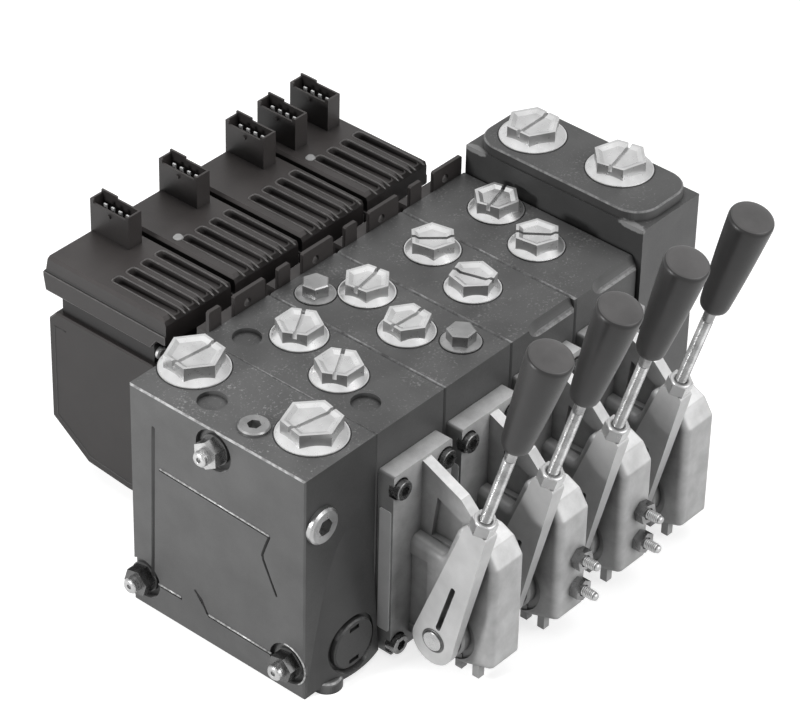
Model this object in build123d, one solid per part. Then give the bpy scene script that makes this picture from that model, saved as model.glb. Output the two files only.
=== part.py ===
"""Sectional proportional directional valve: four lever sections between an inlet block and an end block.

Millimetres. X runs along the stack from the inlet block to the end block, the levers are on the -Y side,
the electrical actuators on the +Y side, and Z is up. The origin is the centre of the base bolt pattern.
"""
from build123d import *
import math
import os

# Stack
section_count = 4
section_pitch = 48.0
inlet_length = 48.0
end_length = 45.0
block_depth = 110.0
block_height = 129.0
end_height = 145.0
end_overhang = 2.0
foot_length = 25.0
foot_height = 9.0
section_lift = 3.0
edge_break = 0.8
seam_break = 1.0

# What each section has, from the inlet block on
has_scoop = (False, False, True, True)
has_shock_valves = (False, True, False, False)
has_top_recesses = (True, False, False, False)
has_flow_stops = (False, True, True, False)
has_status_lens = (False, True, False, True)
has_second_connector = (False, False, False, True)

# Scoop along the lever-side top edge of a section
scoop_radius = 14.0
scoop_out = 10.0
scoop_up = 2.8
scoop_start = 22.0

# End block pad
pad_rise = 5.5
pad_corner = 14.0
pad_depth = 106.0

# Tie rods: y measured from the lever-side face, z from the base
tie_rod_radius = 4.0
tie_rod_clearance = 0.25
tie_rod_top_y = 56.5
tie_rod_top_inset = 11.5
tie_rod_low = 16.5
tie_rod_far_inset = 6.5
tie_rod_near_inset = 10.5
tie_nut_flats = 13.0
tie_nut_height = 6.5
tie_washer_radius = 8.0
tie_washer_thickness = 1.6
tie_rod_proud = 3.5
tie_scallop_radius = 11.0
tie_scallop_depth = 2.5

# Galleries through the stack and their seals
gallery_places = ((62.0, 72.0, 6.0), (24.0, 92.0, 7.0))
gallery_end_depth = 16.0
seal_section = 1.8
seal_offset = 2.0
seal_groove_slack = 0.1

# Base mounting holes
base_hole_radius = 3.35
base_hole_depth = 14.0
base_hole_inset = 14.0
base_hole_spacing_y = 64.0

# Hexagon port plugs
plug_flange_rim = 1.2
plug_flange_height = 3.6
plug_hex_height = 5.2
plug_slot_width = 2.0
plug_slot_depth = 3.0
plug_rim_width = 1.5
plug_dish_depth = 1.2
plug_dish_angle = 60.0
plug_spotface_depth = 0.8
plug_spotface_margin = 0.6
plug_edge_break = 0.6
plug_thread_length = 12.0
plug_thread_clearance = 0.1
inlet_plug_flange = 17.4
inlet_plug_flats = 25.5
work_plug_flange = 14.0
work_plug_flats = 20.5
end_plug_flange = 17.0
end_plug_flats = 24.0
inlet_plug_places = ((29.6, block_depth - 13.8, -6.0), (28.8, 22.0, -11.0))
work_plug_left = (33.0, 77.3)
work_plug_right = (22.0, 42.5)
work_plug_turns = ((30.0, 30.0), (9.0, -4.0), (133.0, 107.0), (16.0, 129.0))
end_plug_places = ((22.5, block_depth - 24.0, 1.0), (28.5, 35.7, 14.0))

# Small hexagon plugs of the shock valve cavities
shock_plug_flange = 10.0
shock_plug_flats = 12.5
shock_plug_flange_height = 2.2
shock_plug_hex_height = 6.0
shock_plug_places = ((15.3, block_depth - 15.6, 10.0), (32.7, 18.2, 35.0))

# Cast grooves on the inlet face: y from the lever-side face, z from the base
groove_line_width = 1.1
groove_line_depth = 0.8
inlet_grooves = (
    ((94.7, 111.0), (97.0, 21.2)),
    ((90.8, 87.9), (21.9, 85.6), (26.3, 72.6), (17.5, 53.7)),
    ((93.1, 17.2), (78.6, 17.3)),
    ((69.3, 27.5), (60.4, 16.6), (18.8, 16.0)),
)

# Blind recesses
recess_depth = 2.4
section_recess_radius = 7.2
section_recess_places = ((15.0, 19.8), (15.3, block_depth - 15.6))
inlet_recess_radius = 7.3
inlet_recess_place = (16.3, 72.4)

# Socket plugs of the inlet block
socket_plug_radius = 7.7
socket_plug_height = 2.0
socket_plug_flats = 6.0
socket_plug_depth = 5.0
socket_plug_thread = 5.0
socket_plug_place = (14.4, 44.4)
side_plug_radius = 9.4
side_plug_height = 3.4
side_plug_flats = 8.0
side_plug_place = (10.2, 99.3)

# Swelling of the inlet block's lever side, with the relief valve plug in its counterbore
swell_radius = 60.0
swell_out = 6.8
swell_place = 30.0
swell_bottom = 3.0
swell_top = 85.0
foot_lobe_radius = 7.8
foot_lobe_height = 6.0
foot_lobe_place = 16.0
foot_lobe_round = 2.5
relief_place = (28.7, 19.8)
relief_seat_radius = 15.4
relief_seat_depth = 4.6
relief_plug_height = 3.4
relief_plug_radius = 13.4
relief_plug_slot_width = 2.4
relief_plug_slot_length = 6.5
relief_plug_slot_depth = 1.4
relief_plug_slot_place = 9.4
relief_plug_thread = 9.0
relief_plug_length = 4.5

# Lever mechanism: y measured outward from the lever-side face, x from the section's centre
pivot_out = 34.0
pivot_height = 23.5
crank_arm = 20.8
lever_tilt = 16.6
spool_height = pivot_height + crank_arm

# Lever housing
flange_width = 41.0
flange_shift = -1.5
flange_thickness = 9.5
flange_bottom = 1.0
flange_top = 108.0
body_width = 21.0
body_shift = 1.5
body_reach = 60.0
body_bottom = 6.0
lobe_bottom = 12.0
lobe_top = 71.0
hood_top = 84.0
hood_inner = 36.0
hood_outer = 47.0
saddle_top = 64.0
saddle_outer = 29.0
neck_reach = 20.0
neck_step = 1.2
rib_thickness = 6.0
rib_shift = 1.0
rib_reach = 41.0
rib_recess = 3.0
body_edge = 3.0
saddle_round = 4.0
foot_nub_size = 4.0
foot_nub_drop = 3.0
foot_nub_inset = 1.0
foot_nub_places = (40.0, 50.5)
housing_screw_radius = 3.0
housing_screw_head = 5.0
housing_screw_head_height = 6.0
housing_screw_spacing_x = 31.6
housing_screw_low = 6.5
housing_screw_high = 99.0
housing_screw_seat = 6.5
housing_screw_length = 18.0
housing_counterbore = 5.8
hex_socket_share = 0.5

# Crank chamber inside the lever housing
chamber_left = 6.0
chamber_right = 8.5
chamber_bottom = 13.0
chamber_top = 56.0
chamber_reach = 50.0
shaft_radius = 5.0
shaft_boss_radius = 12.5
shaft_boss_proud = 4.0
shaft_boss_break = 1.2
shaft_recess_radius = 16.0
shaft_recess_depth = 1.5
shaft_clearance = 0.05
shaft_blind = 2.0
crank_thickness = 4.0
crank_hub_radius = 9.0
crank_tip_radius = 5.5
crank_gap = 0.75
drive_pin_radius = 3.0
drive_pin_slack = 0.15

# Lever arm, rod, nut and grip, measured along the lever from the pivot
arm_thickness = 8.5
arm_foot_thickness = 4.5
arm_taper_end = 72.0
arm_gap = 2.5
arm_foot_radius = 12.0
arm_foot_drop = 2.0
arm_top_width = 12.5
arm_length = 80.0
arm_slot_start = 8.0
arm_slot_end = 39.0
arm_slot_width = 2.8
pivot_head_radius = 5.2
pivot_head_height = 1.2
rod_radius = 3.0
rod_start = 60.0
rod_end = 172.0
rod_clearance = 0.05
lever_nut_flats = 11.0
lever_nut_height = 6.5
grip_start = 138.0
grip_end = 199.4
grip_low_radius = 7.0
grip_high_radius = 11.0
grip_low_round = 3.5
grip_high_round = 1.8

# Flow stop screws on the lobe
stop_screw_radius = 3.0
stop_screw_heights = (26.0, 44.0)
stop_screw_length = 22.0
stop_screw_proud = 13.0
stop_nut_flats = 10.0
stop_nut_height = 5.0
stop_shift = 4.0

# Spool
land_radius = 9.0
bore_clearance = 0.02
spool_neck_radius = 5.5
spool_neck_length = 11.0
spool_neck_places = (30.0, 55.0, 80.0)
tail_radius = 5.0
land_set_back = 1.5
eye_thickness = 5.5
eye_height = 16.0
eye_reach_out = 6.5
eye_reach_in = 10.0
eye_slot_height = 9.2
stem_radius = 4.0
stem_collar_radius = 7.0
stem_collar_length = 6.0
spool_stroke = 7.0

# Centring spring pack
seat_thickness = 2.0
seat_radius = 11.0
seat_hole_radius = 4.4
spring_outer_radius = 9.5
spring_wire_radius = 1.1
spring_length = 22.0
spring_turns = 3.5
spring_chamber_radius = 11.8
collar_chamber_radius = 8.0
chamber_end_slack = 1.5

# Electrical actuator housing: y measured outward from the actuator-side face
unit_width = 46.0
actuator_flange_width = 39.0
actuator_flange_shift = 1.5
actuator_flange_thickness = 8.0
actuator_flange_top = block_height - 1.0
actuator_flange_bottom = 12.0
lip_rise = 12.0
lip_thickness = 2.0
lip_lug_width = 8.5
lip_slot_width = 9.0
lip_corner = 0.8
lip_hole_radius = 2.3
lip_hole_height = 4.5
lip_hole_place = 8.5
actuator_screw_radius = 2.5
actuator_screw_head = 4.25
actuator_screw_head_height = 5.0
actuator_screw_length = 20.0
actuator_screw_spacing_x = 30.0
actuator_screw_low = 24.0
actuator_screw_high = 100.0
housing_far = 103.7
housing_bottom = 10.3
housing_top = 89.5
belly_near = 51.5
belly_far = 79.2
belly_rise = 2.3
heel_height = 30.0
neck_far = 96.0
neck_near = 34.0
neck_top = 106.0
neck_inset = 2.5
near_step = 16.0

# Electronics cover: y measured outward from the actuator-side face
cover_width = 45.0
cover_near = 24.0
cover_far = 106.0
cover_bottom = 106.0
cover_near_bottom = 111.6
cover_top = 126.0
cover_wall = 2.2
cover_roof = 6.5
cover_lip = 1.4
cover_lip_height = 2.4
cover_edge = 1.4
cover_nose = 3.4
groove_count = 4
groove_first = 10.6
groove_pitch = 9.8
groove_width = 6.4
groove_depth = 3.4
groove_near_depth = 1.8
groove_draft = 12.0
groove_near = 26.4
groove_far = 65.0
cover_screw_radius = 3.2
cover_screw_height = 2.4
cover_screw_thread = 1.6
cover_screw_thread_length = 6.0
cover_screw_spacing_x = 34.0
cover_screw_place = 100.0

# Plug connectors in the covers
connector_width = 9.0
connector_depth = 26.0
connector_height = 18.5
connector_wall = 1.1
connector_floor = 6.5
connector_local = 36.5
connector_local_second = 12.0
connector_place = 91.0
key_width = 2.0
key_proud = 1.2
connector_step = 2.0
connector_crest = 1.4
latch_radius = 1.2
latch_proud = 1.0
latch_drop = 5.0
pin_count = 4
pin_pitch = 5.0
pin_shift = -3.0
pin_thickness = 0.9
pin_width = 1.9
pin_height = 11.4
pin_wall_gap = 0.7

# Status lenses
lens_radius = 2.6
lens_local = 8.0
lens_place = 68.0
lens_proud = 1.0

# Places worked out from the sizes above
shock_section = 1 + has_shock_valves.index(True)
stop_sections = [1 + index for index, fitted in enumerate(has_flow_stops) if fitted]
lens_sections = [1 + index for index, fitted in enumerate(has_status_lens) if fitted]
stack_length = inlet_length + section_count * section_pitch + end_length
stack_start = -stack_length / 2
end_start = stack_length / 2 - end_length
lever_face = -block_depth / 2
actuator_face = block_depth / 2
tie_rod_places = (
    (tie_rod_top_y, block_height - tie_rod_top_inset),
    (block_depth - tie_rod_far_inset, tie_rod_low),
    (tie_rod_near_inset, tie_rod_low),
)
bore_radius = land_radius + bore_clearance
tail_start = spool_stroke + land_set_back
far_seat_place = block_depth + seat_thickness + spring_length
collar_start = far_seat_place + seat_thickness
collar_end = collar_start + stem_collar_length
connector_cavity_start = cover_top + connector_height - (connector_height - connector_floor)


def section_start(number):
    """Return the X where a section begins."""
    return stack_start + inlet_length + (number - 1) * section_pitch


def section_centre(number):
    """Return the X of a section's middle plane."""
    return section_start(number) + section_pitch / 2


def out(distance):
    """Return the Y of a point this far from the lever-side face, counted towards the actuators."""
    return lever_face + distance


def beyond(distance):
    """Return the Y of a point this far beyond the actuator-side face."""
    return actuator_face + distance


def span_box(x_range, y_range, z_range):
    """Return a box between two corners."""
    size = [high - low for low, high in (x_range, y_range, z_range)]
    middle = [(high + low) / 2 for low, high in (x_range, y_range, z_range)]
    return Pos(*middle) * Box(*size)


def cylinder_x(x_range, y, z, radius):
    """Return a cylinder that lies along X."""
    length = x_range[1] - x_range[0]
    return Pos(sum(x_range) / 2, y, z) * Rot(0, 90, 0) * Cylinder(radius, length)


def cylinder_y(x, y_range, z, radius):
    """Return a cylinder that lies along Y."""
    length = y_range[1] - y_range[0]
    return Pos(x, sum(y_range) / 2, z) * Rot(90, 0, 0) * Cylinder(radius, length)


def cylinder_z(x, y, z_range, radius):
    """Return an upright cylinder."""
    length = z_range[1] - z_range[0]
    return Pos(x, y, sum(z_range) / 2) * Cylinder(radius, length)


def hex_prism(flats, height):
    """Return an upright hexagonal prism that stands on the origin."""
    return extrude(RegularPolygon(flats / 2, 6, major_radius=False), height)


def profile_yz(points, x_range):
    """Return an outline in the YZ plane swept between two X values."""
    face = Plane.YZ.offset(x_range[0]) * make_face(Polyline(*points, close=True))
    return extrude(face, x_range[1] - x_range[0])


def flange_plug(flange, flats, flange_height, hex_height, thread, turn, slotted):
    """Return a hexagon plug with a conical flange, seated at z = 0, with its threaded stem below.

    A slotted plug has a dished top and a slot from flat to flat, which lies along X before the turn.
    """
    top = flange_height + hex_height
    plug = cylinder_z(0, 0, (0, plug_flange_rim), flange)
    skirt = Cone(flange - plug_edge_break, flats / 2, flange_height - plug_flange_rim)
    plug = plug + Pos(0, 0, (flange_height + plug_flange_rim) / 2) * skirt
    head = Rot(0, 0, 30) * hex_prism(flats, top)
    if slotted:
        dish = extrude(RegularPolygon(flats / 2 - plug_rim_width, 6, major_radius=False),
                       -plug_dish_depth, taper=plug_dish_angle)
        head = head - Pos(0, 0, top) * Rot(0, 0, 30) * dish
    else:
        head = chamfer(head.faces().sort_by(Axis.Z)[-1].edges(), plug_edge_break)
    plug = plug + head
    if slotted:
        plug = plug - span_box((-flange, flange), (-plug_slot_width / 2, plug_slot_width / 2),
                               (top - plug_slot_depth, top + 1))
    plug = plug + cylinder_z(0, 0, (-plug_thread_length, 0), thread)
    return Rot(0, 0, turn) * plug


def plug_thread(flats):
    """Return the radius of a plug's thread from its hexagon."""
    return flats * 0.41


def cut_plug_seat(block, x, y, top, flange, thread):
    """Cut the spot face and the threaded hole of a plug into a block's top."""
    seat = top - plug_spotface_depth
    block = block - cylinder_z(x, y, (seat, top + 1), flange + plug_spotface_margin)
    depth = plug_thread_length + 1
    return block - cylinder_z(x, y, (seat - depth, seat + 1), thread + plug_thread_clearance)


def cut_tie_rods(block, x_range):
    """Cut the tie rod holes through a block."""
    radius = tie_rod_radius + tie_rod_clearance
    for y, z in tie_rod_places:
        block = block - cylinder_x(x_range, out(y), z, radius)
    return block


def cut_galleries(block, x_range):
    """Cut the pressure and return galleries through a stretch of a block."""
    for y, z, radius in gallery_places:
        block = block - cylinder_x(x_range, out(y), z, radius)
    return block


def seal_ring(x, y, z, radius, slack):
    """Return the ring of a seal, or of its groove with some slack, behind the joint face at x."""
    outer = radius + seal_offset + seal_section + slack
    inner = radius + seal_offset - slack
    ring = cylinder_x((x - seal_section, x), y, z, outer)
    return ring - cylinder_x((x - seal_section - 1, x + 1), y, z, inner)


def cut_seal_grooves(block, x):
    """Cut the seal grooves into the face that looks along the stack."""
    for y, z, radius in gallery_places:
        block = block - seal_ring(x, out(y), z, radius, seal_groove_slack)
    return block


def base_holes(x):
    """Return the two base mounting holes at one end of the stack."""
    holes = Part()
    for side in (-1, 1):
        y = side * base_hole_spacing_y / 2
        holes = holes + cylinder_z(x, y, (-1, base_hole_depth), base_hole_radius)
    return holes


def groove_cutter(face_x, points):
    """Return the cutter of one run of shallow grooves in the face at face_x."""
    cutter = Part()
    for first, second in zip(points, points[1:]):
        run = second[0] - first[0]
        rise = second[1] - first[1]
        angle = math.degrees(math.atan2(rise, run))
        bar = Box(2 * groove_line_depth, math.hypot(run, rise) + groove_line_width, groove_line_width)
        middle_y = out((first[0] + second[0]) / 2)
        middle_z = (first[1] + second[1]) / 2
        cutter = cutter + Pos(face_x, middle_y, middle_z) * Rot(angle, 0, 0) * bar
    return cutter


def relief_seat():
    """Return the Y of the seat of the relief valve plug."""
    return lever_face - swell_out + relief_seat_depth


def inlet_swelling(start, finish):
    """Return the swelling of the lever side, cut from a leaning cylinder, and the foot's lobe."""
    lean = math.degrees(math.atan2(swell_out, swell_top - swell_bottom))
    middle_z = (swell_bottom + swell_top) / 2
    leaning = Rot(-lean, 0, 0) * Pos(0, swell_radius, 0) * Cylinder(swell_radius, 2 * swell_top)
    leaning = Pos(start + swell_place, lever_face - swell_out / 2, middle_z) * leaning
    window = span_box((start, finish), (lever_face - 2 * swell_out, lever_face + 1),
                      (swell_bottom, swell_top))
    lobe = cylinder_z(start + foot_lobe_place, lever_face, (0, foot_lobe_height), foot_lobe_radius)
    lobe = fillet(lobe.edges().group_by(Axis.Z)[-1], foot_lobe_round)
    return (leaning & window) + lobe


def inlet_block():
    """Return the inlet block with its foot, swollen lever side, seats and recesses."""
    start = stack_start
    finish = start + inlet_length
    y_range = (lever_face, actuator_face)
    block = span_box((start, finish), y_range, (foot_height, block_height))
    block = block + span_box((start, start + foot_length), y_range, (0, foot_height))
    block = chamfer(block.faces().sort_by(Axis.X)[0].edges(), edge_break)
    block = block + inlet_swelling(start, finish)
    for y, z in tie_rod_places:
        scallop = cylinder_x((start - 1, start + tie_scallop_depth), out(y), z, tie_scallop_radius)
        block = block - scallop
    block = cut_tie_rods(block, (start - 1, finish + 1))
    block = cut_galleries(block, (start + inlet_length / 2, finish + 1))
    block = cut_seal_grooves(block, finish)
    for x, y, turn in inlet_plug_places:
        block = cut_plug_seat(block, start + x, out(y), block_height, inlet_plug_flange,
                              plug_thread(inlet_plug_flats))
    for points in inlet_grooves:
        block = block - groove_cutter(start, points)
    recess_x, recess_y = inlet_recess_place
    block = block - cylinder_z(start + recess_x, out(recess_y),
                               (block_height - recess_depth, block_height + 1), inlet_recess_radius)
    thread = socket_plug_thread + plug_thread_clearance
    block = block - cylinder_z(start + socket_plug_place[0], out(socket_plug_place[1]),
                               (block_height - plug_thread_length - 1, block_height + 1), thread)
    block = block - cylinder_y(start + side_plug_place[0],
                               (lever_face - 1, lever_face + plug_thread_length + 1),
                               side_plug_place[1], thread)
    relief_x = start + relief_place[0]
    block = block - cylinder_y(relief_x, (lever_face - swell_out - 1, relief_seat()), relief_place[1],
                               relief_seat_radius)
    block = block - cylinder_y(relief_x, (relief_seat() - 1, lever_face + relief_plug_length + 1),
                               relief_place[1], relief_plug_thread + plug_thread_clearance)
    return block - base_holes(start + base_hole_inset)


def section_block(number):
    """Return one section block with its spool bore, port seats and screw holes."""
    start = section_start(number)
    finish = start + section_pitch
    centre = section_centre(number)
    block = span_box((start, finish), (lever_face, actuator_face), (section_lift, block_height))
    seam_edges = block.edges().filter_by(Axis.Y).group_by(Axis.Z)[-1]
    seam_edges = seam_edges + block.edges().filter_by(Axis.Z).group_by(Axis.Y)[0]
    block = chamfer(seam_edges, seam_break)
    if has_scoop[number - 1]:
        scoop_y = lever_face - scoop_out
        scoop_z = block_height + scoop_up
        block = block - cylinder_x((start + scoop_start, finish + 1), scoop_y, scoop_z, scoop_radius)
        block = block - Pos(start + scoop_start, scoop_y, scoop_z) * Sphere(scoop_radius)
    block = block - cylinder_y(centre, (lever_face - 1, actuator_face + 1), spool_height, bore_radius)
    block = cut_tie_rods(block, (start - 1, finish + 1))
    block = cut_galleries(block, (start - 1, finish + 1))
    block = cut_seal_grooves(block, finish)
    for x, y in (work_plug_left, work_plug_right):
        block = cut_plug_seat(block, start + x, out(y), block_height, work_plug_flange,
                              plug_thread(work_plug_flats))
    if has_shock_valves[number - 1]:
        for x, y, turn in shock_plug_places:
            block = cut_plug_seat(block, start + x, out(y), block_height, shock_plug_flange,
                                  plug_thread(shock_plug_flats))
    if has_top_recesses[number - 1]:
        for x, y in section_recess_places:
            block = block - cylinder_z(start + x, out(y), (block_height - recess_depth, block_height + 1),
                                       section_recess_radius)
    for x, z in housing_screw_points(number):
        depth = housing_screw_length - housing_screw_seat
        block = block - cylinder_y(x, (lever_face - 1, lever_face + depth + 1), z,
                                   housing_screw_radius + shaft_clearance)
    for x, z in actuator_screw_points(number):
        depth = actuator_screw_length - actuator_flange_thickness
        block = block - cylinder_y(x, (actuator_face - depth - 1, actuator_face + 1), z,
                                   actuator_screw_radius + shaft_clearance)
    return block


def end_block():
    """Return the tall end block with the raised pad on its top."""
    start = end_start
    finish = start + end_length
    y_range = (lever_face - end_overhang, actuator_face)
    block = span_box((start, finish), y_range, (foot_height, end_height))
    block = block + span_box((finish - foot_length, finish), y_range, (0, foot_height))
    block = chamfer(block.faces().sort_by(Axis.X)[-1].edges(), edge_break)
    pad_middle = (y_range[0] + y_range[1]) / 2
    pad_shape = RectangleRounded(end_length - 2 * edge_break, pad_depth, pad_corner)
    pad = extrude(Pos((start + finish) / 2, pad_middle, end_height) * pad_shape, pad_rise)
    pad = chamfer(pad.faces().sort_by(Axis.Z)[-1].edges(), edge_break)
    block = block + pad
    block = cut_tie_rods(block, (start - 1, finish + 1))
    block = cut_galleries(block, (start - 1, start + gallery_end_depth))
    for x, y, turn in end_plug_places:
        block = cut_plug_seat(block, start + x, out(y), end_height + pad_rise, end_plug_flange,
                              plug_thread(end_plug_flats))
    return block - base_holes(finish - base_hole_inset)


def tie_rods():
    """Return the tie rods, each as long as the stack with its washers and nuts."""
    reach = tie_washer_thickness + tie_nut_height + tie_rod_proud
    first = stack_start + tie_scallop_depth - reach
    last = -stack_start + reach
    return [cylinder_x((first, last), out(y), z, tie_rod_radius) for y, z in tie_rod_places]


def tie_rod_washers():
    """Return the washers, one at each end of each tie rod."""
    washers = []
    inlet_seat = stack_start + tie_scallop_depth
    for y, z in tie_rod_places:
        for low in (inlet_seat - tie_washer_thickness, -stack_start):
            disc = cylinder_x((low, low + tie_washer_thickness), out(y), z, tie_washer_radius)
            hole = cylinder_x((low - 1, low + tie_washer_thickness + 1), out(y), z,
                              tie_rod_radius + tie_rod_clearance)
            washers.append(disc - hole)
    return washers


def tie_rod_nuts():
    """Return the nuts, one at each end of each tie rod."""
    nuts = []
    inlet_seat = stack_start + tie_scallop_depth - tie_washer_thickness - tie_nut_height
    end_seat = -stack_start + tie_washer_thickness
    for y, z in tie_rod_places:
        for low in (inlet_seat, end_seat):
            nut = hex_prism(tie_nut_flats, tie_nut_height)
            nut = nut - cylinder_z(0, 0, (-1, tie_nut_height + 1), tie_rod_radius + shaft_clearance)
            nuts.append(Pos(low, out(y), z) * Rot(0, 90, 0) * Rot(0, 0, z) * nut)
    return nuts


def section_seals():
    """Return the seal rings that lie in the joint faces of the stack."""
    rings = []
    for joint in range(section_count + 1):
        x = stack_start + inlet_length + joint * section_pitch
        for y, z, radius in gallery_places:
            rings.append(seal_ring(x, out(y), z, radius, 0))
    return rings


def inlet_port_plugs():
    """Return the two large plugs on the inlet block."""
    seat = block_height - plug_spotface_depth
    plugs = []
    for x, y, turn in inlet_plug_places:
        plug = flange_plug(inlet_plug_flange, inlet_plug_flats, plug_flange_height,
                           plug_hex_height + 1, plug_thread(inlet_plug_flats), turn, True)
        plugs.append(Pos(stack_start + x, out(y), seat) * plug)
    return plugs


def work_port_plugs():
    """Return the plugs over the work ports, two on each section."""
    seat = block_height - plug_spotface_depth
    plugs = []
    for number in range(1, section_count + 1):
        turns = work_plug_turns[(number - 1) % len(work_plug_turns)]
        for place, turn in zip((work_plug_left, work_plug_right), turns):
            plug = flange_plug(work_plug_flange, work_plug_flats, plug_flange_height,
                               plug_hex_height, plug_thread(work_plug_flats), turn, True)
            plugs.append(Pos(section_start(number) + place[0], out(place[1]), seat) * plug)
    return plugs


def end_port_plugs():
    """Return the two plugs on the pad of the end block."""
    seat = end_height + pad_rise - plug_spotface_depth
    plugs = []
    for x, y, turn in end_plug_places:
        plug = flange_plug(end_plug_flange, end_plug_flats, plug_flange_height, plug_hex_height,
                           plug_thread(end_plug_flats), turn, True)
        plugs.append(Pos(end_start + x, out(y), seat) * plug)
    return plugs


def shock_valve_plugs():
    """Return the small plain hexagon plugs of one section."""
    seat = block_height - plug_spotface_depth
    plugs = []
    for x, y, turn in shock_plug_places:
        plug = flange_plug(shock_plug_flange, shock_plug_flats, shock_plug_flange_height,
                           shock_plug_hex_height, plug_thread(shock_plug_flats), turn, False)
        plugs.append(Pos(section_start(shock_section) + x, out(y), seat) * plug)
    return plugs


def socket_plug(radius, height, flats, thread, length, depth):
    """Return a round plug with a hexagon socket, seated at z = 0."""
    plug = cylinder_z(0, 0, (0, height), radius)
    plug = chamfer(plug.edges().group_by(Axis.Z)[-1], height / 3)
    plug = plug + cylinder_z(0, 0, (-length, 0), thread)
    return plug - Pos(0, 0, height - depth) * hex_prism(flats, depth + 1)


def socket_plugs():
    """Return the two socket plugs of the inlet block, on its top and on its lever side."""
    top = socket_plug(socket_plug_radius, socket_plug_height, socket_plug_flats, socket_plug_thread,
                      plug_thread_length, socket_plug_depth)
    side = socket_plug(side_plug_radius, side_plug_height, side_plug_flats, socket_plug_thread,
                       plug_thread_length, socket_plug_depth)
    top_place = Pos(stack_start + socket_plug_place[0], out(socket_plug_place[1]), block_height)
    side_place = Pos(stack_start + side_plug_place[0], lever_face, side_plug_place[1]) * Rot(90, 0, 0)
    return [top_place * top, side_place * side]


def relief_valve_plug():
    """Return the large plug low on the inlet block, with two slots for a face spanner."""
    plug = cylinder_z(0, 0, (0, relief_plug_height), relief_plug_radius)
    plug = chamfer(plug.edges().group_by(Axis.Z)[-1], edge_break)
    length = relief_plug_length + swell_out - relief_seat_depth
    plug = plug + cylinder_z(0, 0, (-length, 0), relief_plug_thread)
    for side in (-1, 1):
        slot_y = side * relief_plug_slot_place
        plug = plug - span_box((-relief_plug_slot_length / 2, relief_plug_slot_length / 2),
                               (slot_y - relief_plug_slot_width / 2, slot_y + relief_plug_slot_width / 2),
                               (relief_plug_height - relief_plug_slot_depth, relief_plug_height + 1))
    return Pos(stack_start + relief_place[0], relief_seat(), relief_place[1]) * Rot(90, 0, 0) * plug


def housing_screw_points(number):
    """Return the X and Z of the four screws of one lever housing."""
    middle = section_centre(number) + flange_shift
    half = housing_screw_spacing_x / 2
    return [(middle + side * half, z) for side in (-1, 1) for z in (housing_screw_low, housing_screw_high)]


def actuator_screw_points(number):
    """Return the X and Z of the four screws of one actuator housing."""
    middle = section_centre(number) + actuator_flange_shift
    half = actuator_screw_spacing_x / 2
    return [(middle + side * half, z) for side in (-1, 1) for z in (actuator_screw_low, actuator_screw_high)]


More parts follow.
